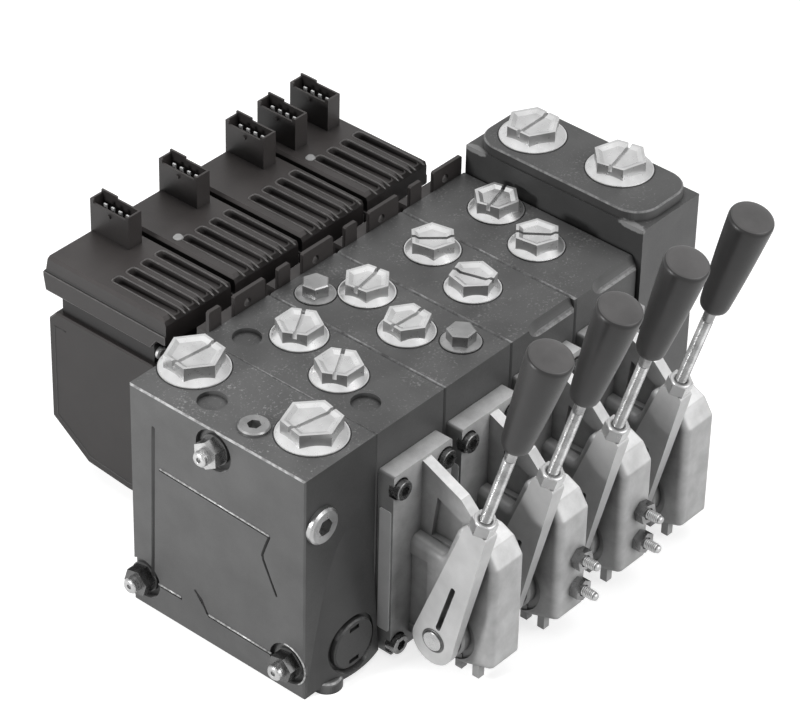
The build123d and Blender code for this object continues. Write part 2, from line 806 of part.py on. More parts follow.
def lever_housing(number):
    """Return one cast lever housing: bolt flange, lobe, ribbed saddle with its recess, crank chamber."""
    centre = section_centre(number)
    flange_x = (centre + flange_shift - flange_width / 2, centre + flange_shift + flange_width / 2)
    body_x = (centre + body_shift - body_width / 2, centre + body_shift + body_width / 2)
    front = lever_face - flange_thickness
    flange = span_box(flange_x, (front, lever_face), (flange_bottom, flange_top))
    flange = fillet(flange.edges().filter_by(Axis.Y), edge_break * 2)
    outline = [
        (front + 1, body_bottom),
        (out(-body_reach + 18), body_bottom),
        (out(-body_reach), lobe_bottom),
        (out(-body_reach), lobe_top),
        (out(-body_reach + 5.5), lobe_top + 8.5),
        (out(-hood_outer), hood_top - 1),
        (out(-hood_inner), hood_top),
        (out(-saddle_outer), saddle_top),
        (front + 1, saddle_top + 2),
    ]
    body = profile_yz(outline, body_x)
    cross_edges = [edge for edge in body.edges().filter_by(Axis.X) if edge.center().Y < front]
    body = fillet(cross_edges, body_edge)
    side_edges = [edge for edge in body.faces().sort_by(Axis.X)[0].edges() if edge.center().Y < front]
    body = fillet(side_edges, saddle_round)
    far_edges = [edge for edge in body.faces().sort_by(Axis.X)[-1].edges() if edge.center().Y < front]
    body = fillet(far_edges, body_edge / 2)
    body = body - span_box((body_x[0] - 1, body_x[0] + neck_step), (out(-neck_reach), lever_face),
                           (chamber_bottom, chamber_top))
    rib_x = (centre + rib_shift - rib_thickness / 2, centre + rib_shift + rib_thickness / 2)
    rib = profile_yz([
        (front + 1, saddle_top - 4),
        (out(-saddle_outer + 1), saddle_top - 4),
        (out(-hood_inner), hood_top - 4),
        (out(-rib_reach), hood_top - 1),
        (out(-rib_reach + 1), hood_top + 5),
        (out(-rib_reach + 8), hood_top + 12),
        (front + 1, flange_top - 1),
    ], rib_x)
    recess = profile_yz([
        (out(-hood_inner + 1.5), hood_top - 1),
        (out(-saddle_outer + 0.5), saddle_top + 2),
        (out(-neck_reach + 4), saddle_top + 2),
        (out(-neck_reach + 1), hood_top + 6),
    ], (rib_x[0] - 1, rib_x[0] + rib_recess))
    shaft_boss = cylinder_x((body_x[0] - shaft_boss_proud, body_x[0] + shaft_recess_depth + 1),
                            out(-pivot_out), pivot_height, shaft_boss_radius)
    shaft_boss = chamfer(shaft_boss.edges().group_by(Axis.X)[0], shaft_boss_break)
    body = body - cylinder_x((body_x[0] - 1, body_x[0] + shaft_recess_depth), out(-pivot_out),
                             pivot_height, shaft_recess_radius)
    housing = flange + body + (rib - recess) + shaft_boss
    nub_x = (body_x[0] + foot_nub_inset, body_x[0] + foot_nub_inset + foot_nub_size)
    for place in foot_nub_places:
        nub_y = (out(-place) - foot_nub_size / 2, out(-place) + foot_nub_size / 2)
        housing = housing + span_box(nub_x, nub_y, (body_bottom - foot_nub_drop, lobe_bottom))
    chamber_x = (centre - chamber_left, centre + chamber_right)
    housing = housing - span_box(chamber_x, (out(-chamber_reach), lever_face + 1),
                                 (chamber_bottom, chamber_top))
    shaft_x = (body_x[0] - shaft_boss_proud - 1, chamber_x[1] + shaft_blind)
    housing = housing - cylinder_x(shaft_x, out(-pivot_out), pivot_height, shaft_radius + shaft_clearance)
    for x, z in housing_screw_points(number):
        seat = lever_face - housing_screw_seat
        housing = housing - cylinder_y(x, (out(-body_reach) - 1, seat), z, housing_counterbore)
        housing = housing - cylinder_y(x, (seat - 1, lever_face + 1), z, housing_screw_radius + 0.3)
    if number in stop_sections:
        for z in stop_screw_heights:
            depth = stop_screw_length - stop_screw_proud
            housing = housing - cylinder_y(centre + body_shift + stop_shift,
                                           (out(-body_reach) - 1, out(-body_reach) + depth + 0.5),
                                           z, stop_screw_radius + shaft_clearance)
    return housing


def cap_screw(radius, head, head_height, length):
    """Return a socket head screw whose head seats at z = 0 and stands up, with its shank below."""
    screw = cylinder_z(0, 0, (0, head_height), head)
    screw = chamfer(screw.edges().group_by(Axis.Z)[-1], edge_break / 2)
    screw = screw + cylinder_z(0, 0, (-length, 0), radius)
    return screw - Pos(0, 0, head_height * (1 - hex_socket_share)) * hex_prism(head, head_height)


def lever_housing_screws():
    """Return the sixteen screws that hold the lever housings."""
    screw = cap_screw(housing_screw_radius, housing_screw_head, housing_screw_head_height,
                      housing_screw_length)
    seat = lever_face - housing_screw_seat
    screws = []
    for number in range(1, section_count + 1):
        for x, z in housing_screw_points(number):
            screws.append(Pos(x, seat, z) * Rot(90, 0, 0) * screw)
    return screws


def actuator_screws():
    """Return the sixteen screws that hold the actuator housings."""
    screw = cylinder_z(0, 0, (0, actuator_screw_head_height), actuator_screw_head)
    screw = screw + cylinder_z(0, 0, (-actuator_screw_length, 0), actuator_screw_radius)
    seat = actuator_face + actuator_flange_thickness
    screws = []
    for number in range(1, section_count + 1):
        for x, z in actuator_screw_points(number):
            screws.append(Pos(x, seat, z) * Rot(-90, 0, 0) * screw)
    return screws


def flow_stop_screws():
    """Return the stop screws on the lobes, with their hexagon sockets."""
    face = out(-body_reach)
    screws = []
    for number in stop_sections:
        x = section_centre(number) + body_shift + stop_shift
        for z in stop_screw_heights:
            tip = face - stop_screw_proud
            rod = cylinder_y(x, (tip, tip + stop_screw_length), z, stop_screw_radius)
            socket = Pos(x, tip + 2, z) * Rot(90, 0, 0) * hex_prism(stop_screw_radius, 3)
            screws.append(rod - socket)
    return screws


def flow_stop_nuts():
    """Return the lock nuts of the stop screws."""
    face = out(-body_reach)
    nuts = []
    for number in stop_sections:
        x = section_centre(number) + body_shift + stop_shift
        for z in stop_screw_heights:
            nut = hex_prism(stop_nut_flats, stop_nut_height)
            nut = nut - cylinder_z(0, 0, (-1, stop_nut_height + 1), stop_screw_radius + shaft_clearance)
            nuts.append(Pos(x, face, z) * Rot(90, 0, 0) * Rot(0, 0, z) * nut)
    return nuts


def lever_x(number):
    """Return the X of the middle plane of one lever."""
    body_side = section_centre(number) + body_shift - body_width / 2
    return body_side - arm_gap - arm_thickness / 2


def place_lever(number, shape):
    """Lean a shape made along +Z from the pivot as the lever rests."""
    return Pos(lever_x(number), out(-pivot_out), pivot_height) * Rot(lever_tilt, 0, 0) * shape


def lever_arm(number):
    """Return the arm: thin round foot at the pivot, straight tapered sides, thicker top and a slot."""
    half = arm_top_width / 2
    foot_y = -arm_foot_drop
    spread = math.degrees(math.asin((arm_foot_radius - half) / (arm_length - foot_y)))
    tangent_y = arm_foot_radius * math.cos(math.radians(spread))
    tangent_z = foot_y + arm_foot_radius * math.sin(math.radians(spread))
    sides = Polyline((tangent_y, tangent_z), (half, arm_length), (-half, arm_length), (-tangent_y, tangent_z))
    foot = ThreePointArc((-tangent_y, tangent_z), (0, foot_y - arm_foot_radius), (tangent_y, tangent_z))
    face = make_face(sides.edges() + foot.edges())
    face = fillet(face.vertices().group_by(Axis.Y)[-1], 2.0)
    slot_middle = (arm_slot_start + arm_slot_end) / 2
    slot = Pos(0, slot_middle) * Rot(0, 0, 90) * SlotOverall(arm_slot_end - arm_slot_start, arm_slot_width)
    hole = Circle(shaft_radius + shaft_clearance)
    plate = Plane.YZ.offset(-arm_thickness / 2) * (face - slot - hole)
    arm = extrude(plate, arm_thickness)
    inner = arm_thickness / 2
    low = -arm_foot_radius - arm_foot_drop - 1
    slope = (arm_thickness - arm_foot_thickness) / arm_taper_end
    wedge = make_face(Polyline((inner - (arm_taper_end - low) * slope, low), (inner, arm_taper_end),
                               (inner + 1, arm_taper_end), (inner + 1, low), close=True))
    arm = arm - extrude(Plane.XZ * wedge, 2 * arm_foot_radius, both=True)
    arm = arm - cylinder_z(0, 0, (rod_start - 1, arm_length + 1), rod_radius + rod_clearance)
    return place_lever(number, arm)


def lever_rod(number):
    """Return the straight lever rod."""
    rod = cylinder_z(0, 0, (rod_start, rod_end), rod_radius)
    return place_lever(number, chamfer(rod.edges().group_by(Axis.Z)[-1], rod_radius / 4))


def lever_nut(number):
    """Return the lock nut on the lever rod."""
    nut = Pos(0, 0, arm_length) * hex_prism(lever_nut_flats, lever_nut_height)
    nut = nut - cylinder_z(0, 0, (arm_length - 1, arm_length + lever_nut_height + 1),
                           rod_radius + rod_clearance)
    return place_lever(number, nut)


def lever_grip(number):
    """Return the tapered grip, turned about the lever rod."""
    profile = Polyline((0, grip_start), (grip_low_radius, grip_start), (grip_high_radius, grip_end),
                       (0, grip_end), close=True)
    face = make_face(profile)
    low_corner = face.vertices().filter_by(lambda v: v.X > 1 and v.Y < grip_start + 1)
    face = fillet(low_corner, grip_low_round)
    high_corner = face.vertices().filter_by(lambda v: v.X > 1 and v.Y > grip_end - 1)
    face = fillet(high_corner, grip_high_round)
    grip = revolve(Plane.XZ * face, Axis.Z)
    grip = grip - cylinder_z(0, 0, (grip_start - 1, rod_end + 0.5), rod_radius + rod_clearance)
    return place_lever(number, grip)


def lever_crank(number):
    """Return the lever shaft with its outer head, hub, crank arm and drive pin."""
    centre = section_centre(number)
    y = out(-pivot_out)
    arm_low = lever_x(number) - arm_thickness / 2
    chamber_x = (centre - chamber_left, centre + chamber_right)
    shaft = cylinder_x((arm_low, chamber_x[1] + shaft_blind - 0.3), y, pivot_height, shaft_radius)
    head = cylinder_x((arm_low - pivot_head_height, arm_low), y, pivot_height, pivot_head_radius)
    head = chamfer(head.edges().group_by(Axis.X)[0], pivot_head_height / 4)
    arm_x = (centre + eye_thickness / 2 + crank_gap, centre + eye_thickness / 2 + crank_gap + crank_thickness)
    hub = cylinder_x((chamber_x[0] + crank_gap, arm_x[1]), y, pivot_height, crank_hub_radius)
    tip = cylinder_x(arm_x, y, spool_height, crank_tip_radius)
    web = profile_yz([
        (y - crank_hub_radius + 1, pivot_height),
        (y + crank_hub_radius - 1, pivot_height),
        (y + crank_tip_radius, spool_height),
        (y - crank_tip_radius, spool_height),
    ], arm_x)
    pin = cylinder_x((centre - eye_thickness / 2, arm_x[0] + 1), y, spool_height, drive_pin_radius)
    return shaft + head + hub + tip + web + pin


def spool(number):
    """Return the spool: lands and necks in the bore, driven eye at one end, centring stem at the other."""
    x = section_centre(number)
    spool_body = cylinder_y(x, (out(tail_start), actuator_face), spool_height, land_radius)
    for place in spool_neck_places:
        low = out(place - spool_neck_length / 2)
        high = out(place + spool_neck_length / 2)
        ring = cylinder_y(x, (low, high), spool_height, land_radius + 1)
        ring = ring - cylinder_y(x, (low - 1, high + 1), spool_height, spool_neck_radius)
        spool_body = spool_body - ring
    tail = cylinder_y(x, (out(-pivot_out + eye_reach_in - 1), out(tail_start + 1)), spool_height,
                      tail_radius)
    stem = cylinder_y(x, (actuator_face - 1, out(collar_start + 1)), spool_height, stem_radius)
    collar = cylinder_y(x, (out(collar_start), out(collar_end)), spool_height, stem_collar_radius)
    eye = span_box((x - eye_thickness / 2, x + eye_thickness / 2),
                   (out(-pivot_out - eye_reach_out), out(-pivot_out + eye_reach_in)),
                   (spool_height - eye_height / 2, spool_height + eye_height / 2))
    slot_half = drive_pin_radius + drive_pin_slack
    slot = span_box((x - eye_thickness, x + eye_thickness),
                    (out(-pivot_out) - slot_half, out(-pivot_out) + slot_half),
                    (spool_height - eye_slot_height / 2, spool_height + eye_slot_height / 2))
    return spool_body + tail + stem + collar + eye - slot


def spring_coil(x, y_start):
    """Return one centring spring between its seats."""
    pitch = (spring_length - 2 * spring_wire_radius) / spring_turns
    mean_radius = spring_outer_radius - spring_wire_radius
    path = Helix(pitch, pitch * spring_turns, mean_radius)
    section = Plane(path @ 0, z_dir=path % 0) * Circle(spring_wire_radius)
    coil = sweep(section, path=path)
    return Pos(x, y_start + spring_wire_radius, spool_height) * Rot(-90, 0, 0) * coil


def centring_springs():
    """Return the centring packs: a seat washer, a spring and a second seat washer for each spool."""
    pieces = []
    for number in range(1, section_count + 1):
        x = section_centre(number)
        for low in (block_depth, far_seat_place):
            seat = cylinder_y(x, (out(low), out(low + seat_thickness)), spool_height, seat_radius)
            hole = cylinder_y(x, (out(low) - 1, out(low + seat_thickness) + 1), spool_height,
                              seat_hole_radius)
            pieces.append(seat - hole)
        pieces.append(spring_coil(x, out(block_depth + seat_thickness)))
    return pieces


def actuator_housing(number):
    """Return one actuator housing: bolt flange, deep body, narrower neck and the spool end chamber."""
    centre = section_centre(number)
    flange_low_x = centre + actuator_flange_shift - actuator_flange_width / 2
    flange_high_x = flange_low_x + actuator_flange_width
    flange_far = actuator_face + actuator_flange_thickness
    flange = span_box((flange_low_x, flange_high_x), (actuator_face, flange_far),
                      (actuator_flange_bottom, actuator_flange_top))
    lip_y = (actuator_face, actuator_face + lip_thickness)
    lip_z = (actuator_flange_top - 1, actuator_flange_top + lip_rise)
    lug = span_box((flange_low_x, flange_low_x + lip_lug_width), lip_y, lip_z)
    plate = span_box((flange_low_x + lip_lug_width + lip_slot_width, flange_high_x), lip_y, lip_z)
    for lip in (lug, plate):
        flange = flange + chamfer(lip.edges().filter_by(Axis.Y).group_by(Axis.Z)[-1], lip_corner)
    flange = flange - cylinder_y(centre + lip_hole_place, (actuator_face - 1, flange_far + 1),
                                 actuator_flange_top + lip_hole_height, lip_hole_radius)
    unit_half = unit_width / 2
    body = profile_yz([
        (flange_far - 1, housing_bottom + 8),
        (beyond(near_step), housing_bottom + 1),
        (beyond(belly_near), housing_bottom),
        (beyond(belly_far), housing_bottom + belly_rise),
        (beyond(housing_far), heel_height),
        (beyond(housing_far), housing_top),
        (beyond(housing_far - 5), housing_top + 5.5),
        (beyond(neck_near), housing_top + 5.5),
        (beyond(neck_near - 6), housing_top),
        (beyond(near_step), housing_top),
        (flange_far - 1, housing_top - 8),
    ], (centre - unit_half, centre + unit_half))
    body = chamfer(body.faces().filter_by(Axis.X).edges(), edge_break)
    neck_half = unit_half - neck_inset
    neck = span_box((centre - neck_half, centre + neck_half), (beyond(neck_near), beyond(neck_far)),
                    (housing_top, neck_top))
    housing = flange + body + neck
    housing = housing - cylinder_y(centre, (actuator_face - 1, out(collar_start)), spool_height,
                                   spring_chamber_radius)
    chamber_end = out(collar_end + spool_stroke + chamber_end_slack)
    housing = housing - cylinder_y(centre, (out(collar_start) - 1, chamber_end), spool_height,
                                   collar_chamber_radius)
    for x, z in actuator_screw_points(number):
        housing = housing - cylinder_y(x, (actuator_face - 1, flange_far), z, actuator_screw_radius + 0.3)
        head_reach = (flange_far, beyond(near_step) + 1)
        housing = housing - cylinder_y(x, head_reach, z, actuator_screw_head + 0.5)
    for x in cover_screw_xs(number):
        reach = (beyond(neck_near) - 1, beyond(neck_near) + cover_screw_thread_length + 0.5)
        housing = housing - cylinder_y(x, reach, cover_screw_place, cover_screw_thread + shaft_clearance)
    return housing


def cover_screw_xs(number):
    """Return the X of the two cover screws of one unit."""
    half = cover_screw_spacing_x / 2
    return [section_centre(number) - half, section_centre(number) + half]


def connector_xs(number):
    """Return the X of each plug connector in one cover."""
    places = [section_start(number) + connector_local]
    if has_second_connector[number - 1]:
        places.append(section_start(number) + connector_local_second)
    return places


def connector_shell(x):
    """Return one open plug connector: low inner wall with a latch bump, crest and two keys outside."""
    half_x = connector_width / 2
    half_y = connector_depth / 2
    y = beyond(connector_place)
    top = cover_top + connector_height
    shell = span_box((x - half_x, x + half_x), (y - half_y, y + half_y), (cover_top - 1, top))
    crest = span_box((x + half_x - connector_wall, x + half_x), (y + half_y / 5, y + half_y),
                     (top - 1, top + connector_crest))
    latch = cylinder_x((x - half_x - latch_proud, x), y, top - latch_drop, latch_radius)
    shell = shell + crest + latch
    shell = shell - span_box((x - half_x - 1, x - half_x + connector_wall + 1),
                             (y - half_y + 2 * connector_wall, y + half_y - 2 * connector_wall),
                             (top - connector_step, top + 1))
    for side in (-1, 1):
        key_y = y + half_y - key_width * 2 + side * key_width * 1.5
        shell = shell + span_box((x + half_x - 0.5, x + half_x + key_proud),
                                 (key_y - key_width / 2, key_y + key_width / 2), (cover_top - 1, top))
    return shell


def connector_cavity(x):
    """Return the space inside one plug connector."""
    half_x = connector_width / 2 - connector_wall
    half_y = connector_depth / 2 - connector_wall
    y = beyond(connector_place)
    return span_box((x - half_x, x + half_x), (y - half_y, y + half_y),
                    (connector_cavity_start, cover_top + connector_height + 2))


def cooling_groove(x):
    """Return the cutter of one cooling groove: sloped walls, and a floor that rises to the near end."""
    run = groove_far - groove_near
    tilt = math.degrees(math.atan2(groove_depth - groove_near_depth, run))
    height = groove_depth + groove_near_depth
    slot = Rot(0, 0, 90) * SlotOverall(run + groove_width / 2, groove_width)
    cutter = extrude(slot, -height, taper=groove_draft)
    cutter = cutter + extrude(slot, height)
    middle_depth = (groove_depth + groove_near_depth) / 2
    y = beyond((groove_far + groove_near) / 2)
    return Pos(x, y, cover_top + height - middle_depth) * Rot(-tilt, 0, 0) * cutter


def electronics_cover(number):
    """Return one cover shell with its lip, cooling grooves and plug connectors."""
    centre = section_centre(number)
    half = cover_width / 2
    x_range = (centre - half, centre + half)
    shell = profile_yz([
        (beyond(cover_near), cover_near_bottom),
        (beyond(cover_near), cover_top - cover_nose),
        (beyond(cover_near + cover_nose * 0.3), cover_top - cover_nose * 0.3),
        (beyond(cover_near + cover_nose), cover_top),
        (beyond(cover_far - 3.0), cover_top),
        (beyond(cover_far - cover_lip), cover_top - 8),
        (beyond(cover_far), cover_top - 8 - cover_lip),
        (beyond(cover_far), cover_top - 8 - cover_lip - cover_lip_height),
        (beyond(cover_far - cover_lip), cover_bottom),
        (beyond(neck_near), cover_bottom),
        (beyond(neck_near - 4), cover_near_bottom),
    ], x_range)
    shell = chamfer(shell.faces().filter_by(Axis.X).edges().filter_by(Axis.Y).group_by(Axis.Z)[-1], cover_edge)
    shell = shell - span_box((x_range[0] + cover_wall, x_range[1] - cover_wall),
                             (beyond(neck_near + cover_wall), beyond(neck_far - cover_wall)),
                             (cover_bottom - 1, cover_top - cover_roof))
    for index in range(groove_count):
        shell = shell - cooling_groove(section_start(number) + groove_first + index * groove_pitch)
    for x in connector_xs(number):
        shell = shell + connector_shell(x) - connector_cavity(x)
    if number in lens_sections:
        lens_x = section_start(number) + lens_local
        shell = shell - cylinder_z(lens_x, beyond(lens_place), (cover_top - 2, cover_top + 1),
                                   lens_radius + shaft_clearance)
    return shell


def connector_pins():
    """Return the flat contact pins, one row in each plug connector."""
    pins = []
    floor = connector_cavity_start
    for number in range(1, section_count + 1):
        for connector_x in connector_xs(number):
            low_x = connector_x - connector_width / 2 + connector_wall + pin_wall_gap
            for index in range(pin_count):
                y = beyond(connector_place) + pin_shift + (index - (pin_count - 1) / 2) * pin_pitch
                pins.append(span_box((low_x, low_x + pin_thickness), (y - pin_width / 2, y + pin_width / 2),
                                     (floor, floor + pin_height)))
    return pins


def status_lenses():
    """Return the domed status lenses."""
    lenses = []
    for number in lens_sections:
        x = section_start(number) + lens_local
        lens = cylinder_z(x, beyond(lens_place), (cover_top - 2, cover_top + lens_proud), lens_radius)
        lenses.append(chamfer(lens.edges().group_by(Axis.Z)[-1], lens_proud * 0.8))
    return lenses


def cover_screws():
    """Return the small screws under the covers, on the side that faces the sections."""
    screws = []
    for number in range(1, section_count + 1):
        for x in cover_screw_xs(number):
            face = beyond(neck_near)
            head = cylinder_y(x, (face - cover_screw_height, face), cover_screw_place, cover_screw_radius)
            head = chamfer(head.edges().group_by(Axis.Y)[0], cover_screw_height / 3)
            thread = cylinder_y(x, (face, face + cover_screw_thread_length), cover_screw_place,
                                cover_screw_thread)
            screws.append(head + thread)
    return screws


def write_node(name, shape, color):
    """Write one node; a list of solids becomes one group of separate solids."""
    if isinstance(shape, list):
        shape = Compound(children=[piece if isinstance(piece, Solid) else piece.solid() for piece in shape])
    shape.color = color
    export_step(shape, f"parts/{name}.step")


def main():
    """Build every node and write it."""
    os.makedirs("parts", exist_ok=True)
    iron = Color(0.29, 0.29, 0.29)
    zinc = Color(0.85, 0.85, 0.83)
    steel = Color(0.6, 0.6, 0.6)
    alloy = Color(0.68, 0.68, 0.67)
    plastic = Color(0.17, 0.16, 0.16)
    rubber = Color(0.06, 0.06, 0.06)
    write_node("inlet_block", inlet_block(), iron)
    write_node("end_block", end_block(), iron)
    groups = (
        ("tie_rods", tie_rods, steel),
        ("tie_rod_nuts", tie_rod_nuts, steel),
        ("tie_rod_washers", tie_rod_washers, steel),
        ("section_seals", section_seals, rubber),
        ("inlet_port_plugs", inlet_port_plugs, zinc),
        ("work_port_plugs", work_port_plugs, zinc),
        ("end_port_plugs", end_port_plugs, zinc),
        ("shock_valve_plugs", shock_valve_plugs, steel),
        ("socket_plugs", socket_plugs, steel),
        ("relief_valve_plug", relief_valve_plug, steel),
        ("lever_housing_screws", lever_housing_screws, steel),
        ("actuator_screws", actuator_screws, steel),
        ("flow_stop_screws", flow_stop_screws, steel),
        ("flow_stop_nuts", flow_stop_nuts, steel),
        ("centring_springs", centring_springs, steel),
        ("connector_pins", connector_pins, zinc),
        ("status_lenses", status_lenses, zinc),
        ("cover_screws", cover_screws, zinc),
    )
    for name, make, color in groups:
        write_node(name, make(), color)
    numbered = (
        ("section_block", section_block, iron),
        ("lever_housing", lever_housing, alloy),
        ("lever_arm", lever_arm, alloy),
        ("lever_rod", lever_rod, zinc),
        ("lever_nut", lever_nut, zinc),
        ("lever_grip", lever_grip, rubber),
        ("lever_crank", lever_crank, steel),
        ("spool", spool, steel),
        ("actuator_housing", actuator_housing, plastic),
        ("electronics_cover", electronics_cover, plastic),
    )
    for number in range(1, section_count + 1):
        for name, make, color in numbered:
            write_node(f"{name}_{number}", make(number), color)


main()
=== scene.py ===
import math
import bpy
from mathutils import Matrix, Vector


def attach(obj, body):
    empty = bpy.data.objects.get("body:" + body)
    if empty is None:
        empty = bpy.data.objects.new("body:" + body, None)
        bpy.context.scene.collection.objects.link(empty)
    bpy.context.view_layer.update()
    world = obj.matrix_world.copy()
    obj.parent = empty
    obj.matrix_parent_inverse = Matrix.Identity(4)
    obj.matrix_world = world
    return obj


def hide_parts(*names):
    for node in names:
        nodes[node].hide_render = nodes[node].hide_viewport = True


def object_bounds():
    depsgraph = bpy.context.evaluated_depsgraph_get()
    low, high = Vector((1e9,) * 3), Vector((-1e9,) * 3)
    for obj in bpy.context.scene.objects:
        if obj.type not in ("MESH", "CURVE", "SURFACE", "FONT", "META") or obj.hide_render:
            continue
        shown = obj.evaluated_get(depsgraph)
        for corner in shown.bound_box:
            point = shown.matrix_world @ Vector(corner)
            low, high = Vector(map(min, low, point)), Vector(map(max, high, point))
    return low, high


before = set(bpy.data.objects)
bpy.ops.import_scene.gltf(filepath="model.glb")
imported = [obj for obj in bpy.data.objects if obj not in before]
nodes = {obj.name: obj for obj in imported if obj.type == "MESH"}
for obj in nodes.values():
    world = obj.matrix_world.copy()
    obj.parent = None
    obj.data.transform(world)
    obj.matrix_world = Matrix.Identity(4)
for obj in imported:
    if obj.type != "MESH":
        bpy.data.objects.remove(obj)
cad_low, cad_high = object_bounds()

MM = 0.001

# The stack, in mm: X runs along it from the inlet block, Y across it, Z up from its feet
SECTIONS = 4
SECTION_PITCH = 48.0
INLET_LENGTH = 48.0
END_LENGTH = 45.0
STACK_LENGTH = INLET_LENGTH + SECTIONS * SECTION_PITCH + END_LENGTH
STACK_START = -STACK_LENGTH / 2
END_START = STACK_START + STACK_LENGTH - END_LENGTH
LEVER_FACE = -55.0
ACTUATOR_FACE = 55.0

# Levers: the pivot and the lean at rest, then sizes and places along the lever from the pivot
PIVOT_OUT = 34.0
PIVOT_HEIGHT = 23.5
LEVER_LEAN = math.radians(16.6)
ARM_X = -15.75
ARM_FACE_X = -20.0
ARM_LENGTH = 80.0
NUT_HEIGHT = 6.5
ROD_RADIUS = 3.0
ROD_PITCH = 1.0
ROD_THREAD = (60.0, 130.0)
ROD_THREAD_DEPTH = 0.6
ROD_NECK_STEP = 0.25
ROD_PLAIN_STEP = 0.1
ROD_TOP = 172.0

# Outlines of (radius, height): the grip's from the pivot, the nut's from its top, the ring's from the arm
GRIP_FOOT = ((4.6, 138.0), (6.0, 138.6), (6.9, 139.8), (7.3, 141.4), (7.5, 143.5))
GRIP_CAP = ((11.0, 196.4), (10.95, 197.4), (10.7, 198.2), (10.2, 198.8), (9.4, 199.15), (7.5, 199.45),
            (4.5, 199.75), (0.05, 199.9))
GRIP_FLARE = 3.5
GRIP_SWELL = 0.25
GRIP_FLARE_LENGTH = 52.5
NUT_FACE = ((3.2, -0.5), (5.2, -0.5), (5.4, 0.1), (5.0, 0.6), (3.2, 0.6))
PIVOT_RING = ((5.3, 0.0), (5.3, 0.55), (6.2, 0.55), (6.5, 0.3), (6.5, -0.1))

# Tie rods: their (y, z) places, the X where each end's thread starts, and (radius, height) outlines
TIE_RODS = ((1.5, 117.5), (48.5, 16.5), (-44.5, 16.5))
ROD_END_X = (STACK_START - 9.05, STACK_START + STACK_LENGTH + 8.15)
ROD_END_LENGTH = 3.3
ROD_END_RADIUS = 4.15
ROD_END_PITCH = 1.25
ROD_END_DEPTH = 0.45
ROD_CAP = ((3.9, -0.1), (3.8, 0.3), (3.3, 0.9), (2.4, 1.15), (1.5, 1.1), (1.2, 0.7), (0.05, 0.7))
# The dimple's near-black disc, painted as its shade
ROD_DIMPLE_SHADE = ((1.3, 0.6), (1.3, 0.85), (0.05, 0.85))

# Stop screws on the front lobe of two lever housings, with heights out of the lobe
STOP_SECTIONS = (2, 3)
STOP_HEIGHTS = (26.0, 44.0)
STOP_X = 5.5
LOBE_REACH = 60.0
STOP_RADIUS = 2.6
STOP_PITCH = 1.0
STOP_THREAD = (-6.0, 11.5)
STOP_THREAD_DEPTH = 0.4
STOP_TIP = ((2.1, 11.0), (2.1, 12.0), (1.8, 12.7), (1.1, 13.0), (0.05, 13.05))

# Cast lines of the inlet face: (y from the lever face, z), the bright ones beads of painted highlight and the
# dark ones beads of painted shade for their grooves, and an arc in degrees for a painted highlight on a rim
BRIGHT_LINES = (
    ((90.8, 87.9), (21.9, 85.6)),
    ((93.1, 17.2), (78.6, 17.3)),
    ((60.4, 16.6), (20.5, 16.0)),
)
BRIGHT_LINE_RISE = 0.9
BRIGHT_LINE_RADIUS = 0.5
DARK_LINES = (
    ((21.9, 85.6), (24.4, 79.0), (26.1, 73.6), (25.6, 70.2), (17.5, 53.7)),
    ((69.3, 27.5), (65.2, 24.2), (61.6, 17.4)),
)
DARK_LINE_RADIUS = 1.1
DARK_LINE_DEPTH = 0.8
SIDE_LINE = ((94.7, 111.0), (97.0, 21.2))
SIDE_LINE_RADIUS = 2.1
SIDE_LINE_DEPTH = 1.8
RIM_ARC_RADIUS = 11.2
RIM_ARC_BEAD = 0.45
RIM_ARC_START = -50
RIM_ARC_SWEEP = 150
RIM_ARC_STEPS = 24

# Rubbed corners of the end block: the middle of each patch and its reach along X, Y and Z
RUBBED_CORNERS = (
    ((END_START, 49.0, 144.4), (3.5, 7.0, 2.2)),
    ((END_START, -50.0, 144.4), (3.5, 8.0, 2.2)),
)

# Actuators: the side's panel line as (y from the actuator face, z), a near-black bead painted as the shade of
# its groove, and where the neck begins, from which on the neck gets painted shade
UNIT_HALF = 23.0
PANEL_LINE = ((92.0, 86.5), (99.7, 86.5), (99.7, 32.5), (77.6, 17.0), (52.0, 14.8), (25.0, 15.4))
PANEL_LINE_RADIUS = 0.4
PANEL_LINE_DEPTH = 0.15
NECK_BASE = 95.0
NECK_NEAR = 80.0

# Covers, with the crests beside their grooves as (across, along) from a groove's near or far end, drawn as
# beads with a painted highlight
COVER_TOP = 126.0
COVER_HALF = 22.5
GROOVES = 4
GROOVE_FIRST = 10.6
GROOVE_PITCH = 9.8
GROOVE_NEAR = 25.8
GROOVE_FAR = 66.5
CREST_RADIUS = 0.42
CREST_IN = ((-4.6, -4.2), (-3.9, -1.2), (-3.2, 3.0))
CREST_TURN = ((-3.1, -1.6), (-2.4, -0.4), (-1.2, 0.0), (1.6, 0.0), (2.7, -0.6), (3.1, -2.0))
CREST_OUT = ((3.1, 2.0), (2.7, -1.5), (1.9, -4.2))

# Band, and the near-black strip above it painted as the shade of a groove, on the sides of each cover, as (y,
# z)
BAND_OUTLINE = ((79.0, 111.6), (79.0, 116.6), (161.0, 116.6), (161.0, 114.2), (159.6, 106.0),
                (89.0, 106.0), (85.0, 111.6))
BAND_PROUD = 0.9
GROOVE_SHADE_OUTLINE = ((79.3, 116.7), (79.3, 117.7), (159.6, 117.7), (160.4, 116.7))
GROOVE_SHADE_PROUD = 0.06
SUNK_INTO_WALL = 0.3
BAND_EDGE = 0.45

# Bare plates on the inlet-facing sides of the lever housings: X from the section's middle
PLATE_X = -22.0
PLATE_Y = (LEVER_FACE - 8.3, LEVER_FACE - 1.3)
PLATE_Z = (15.0, 87.0)
PLATE_CORNER = 0.8
PLATE_PROUD = 0.3
PLATE_SUNK = 0.1

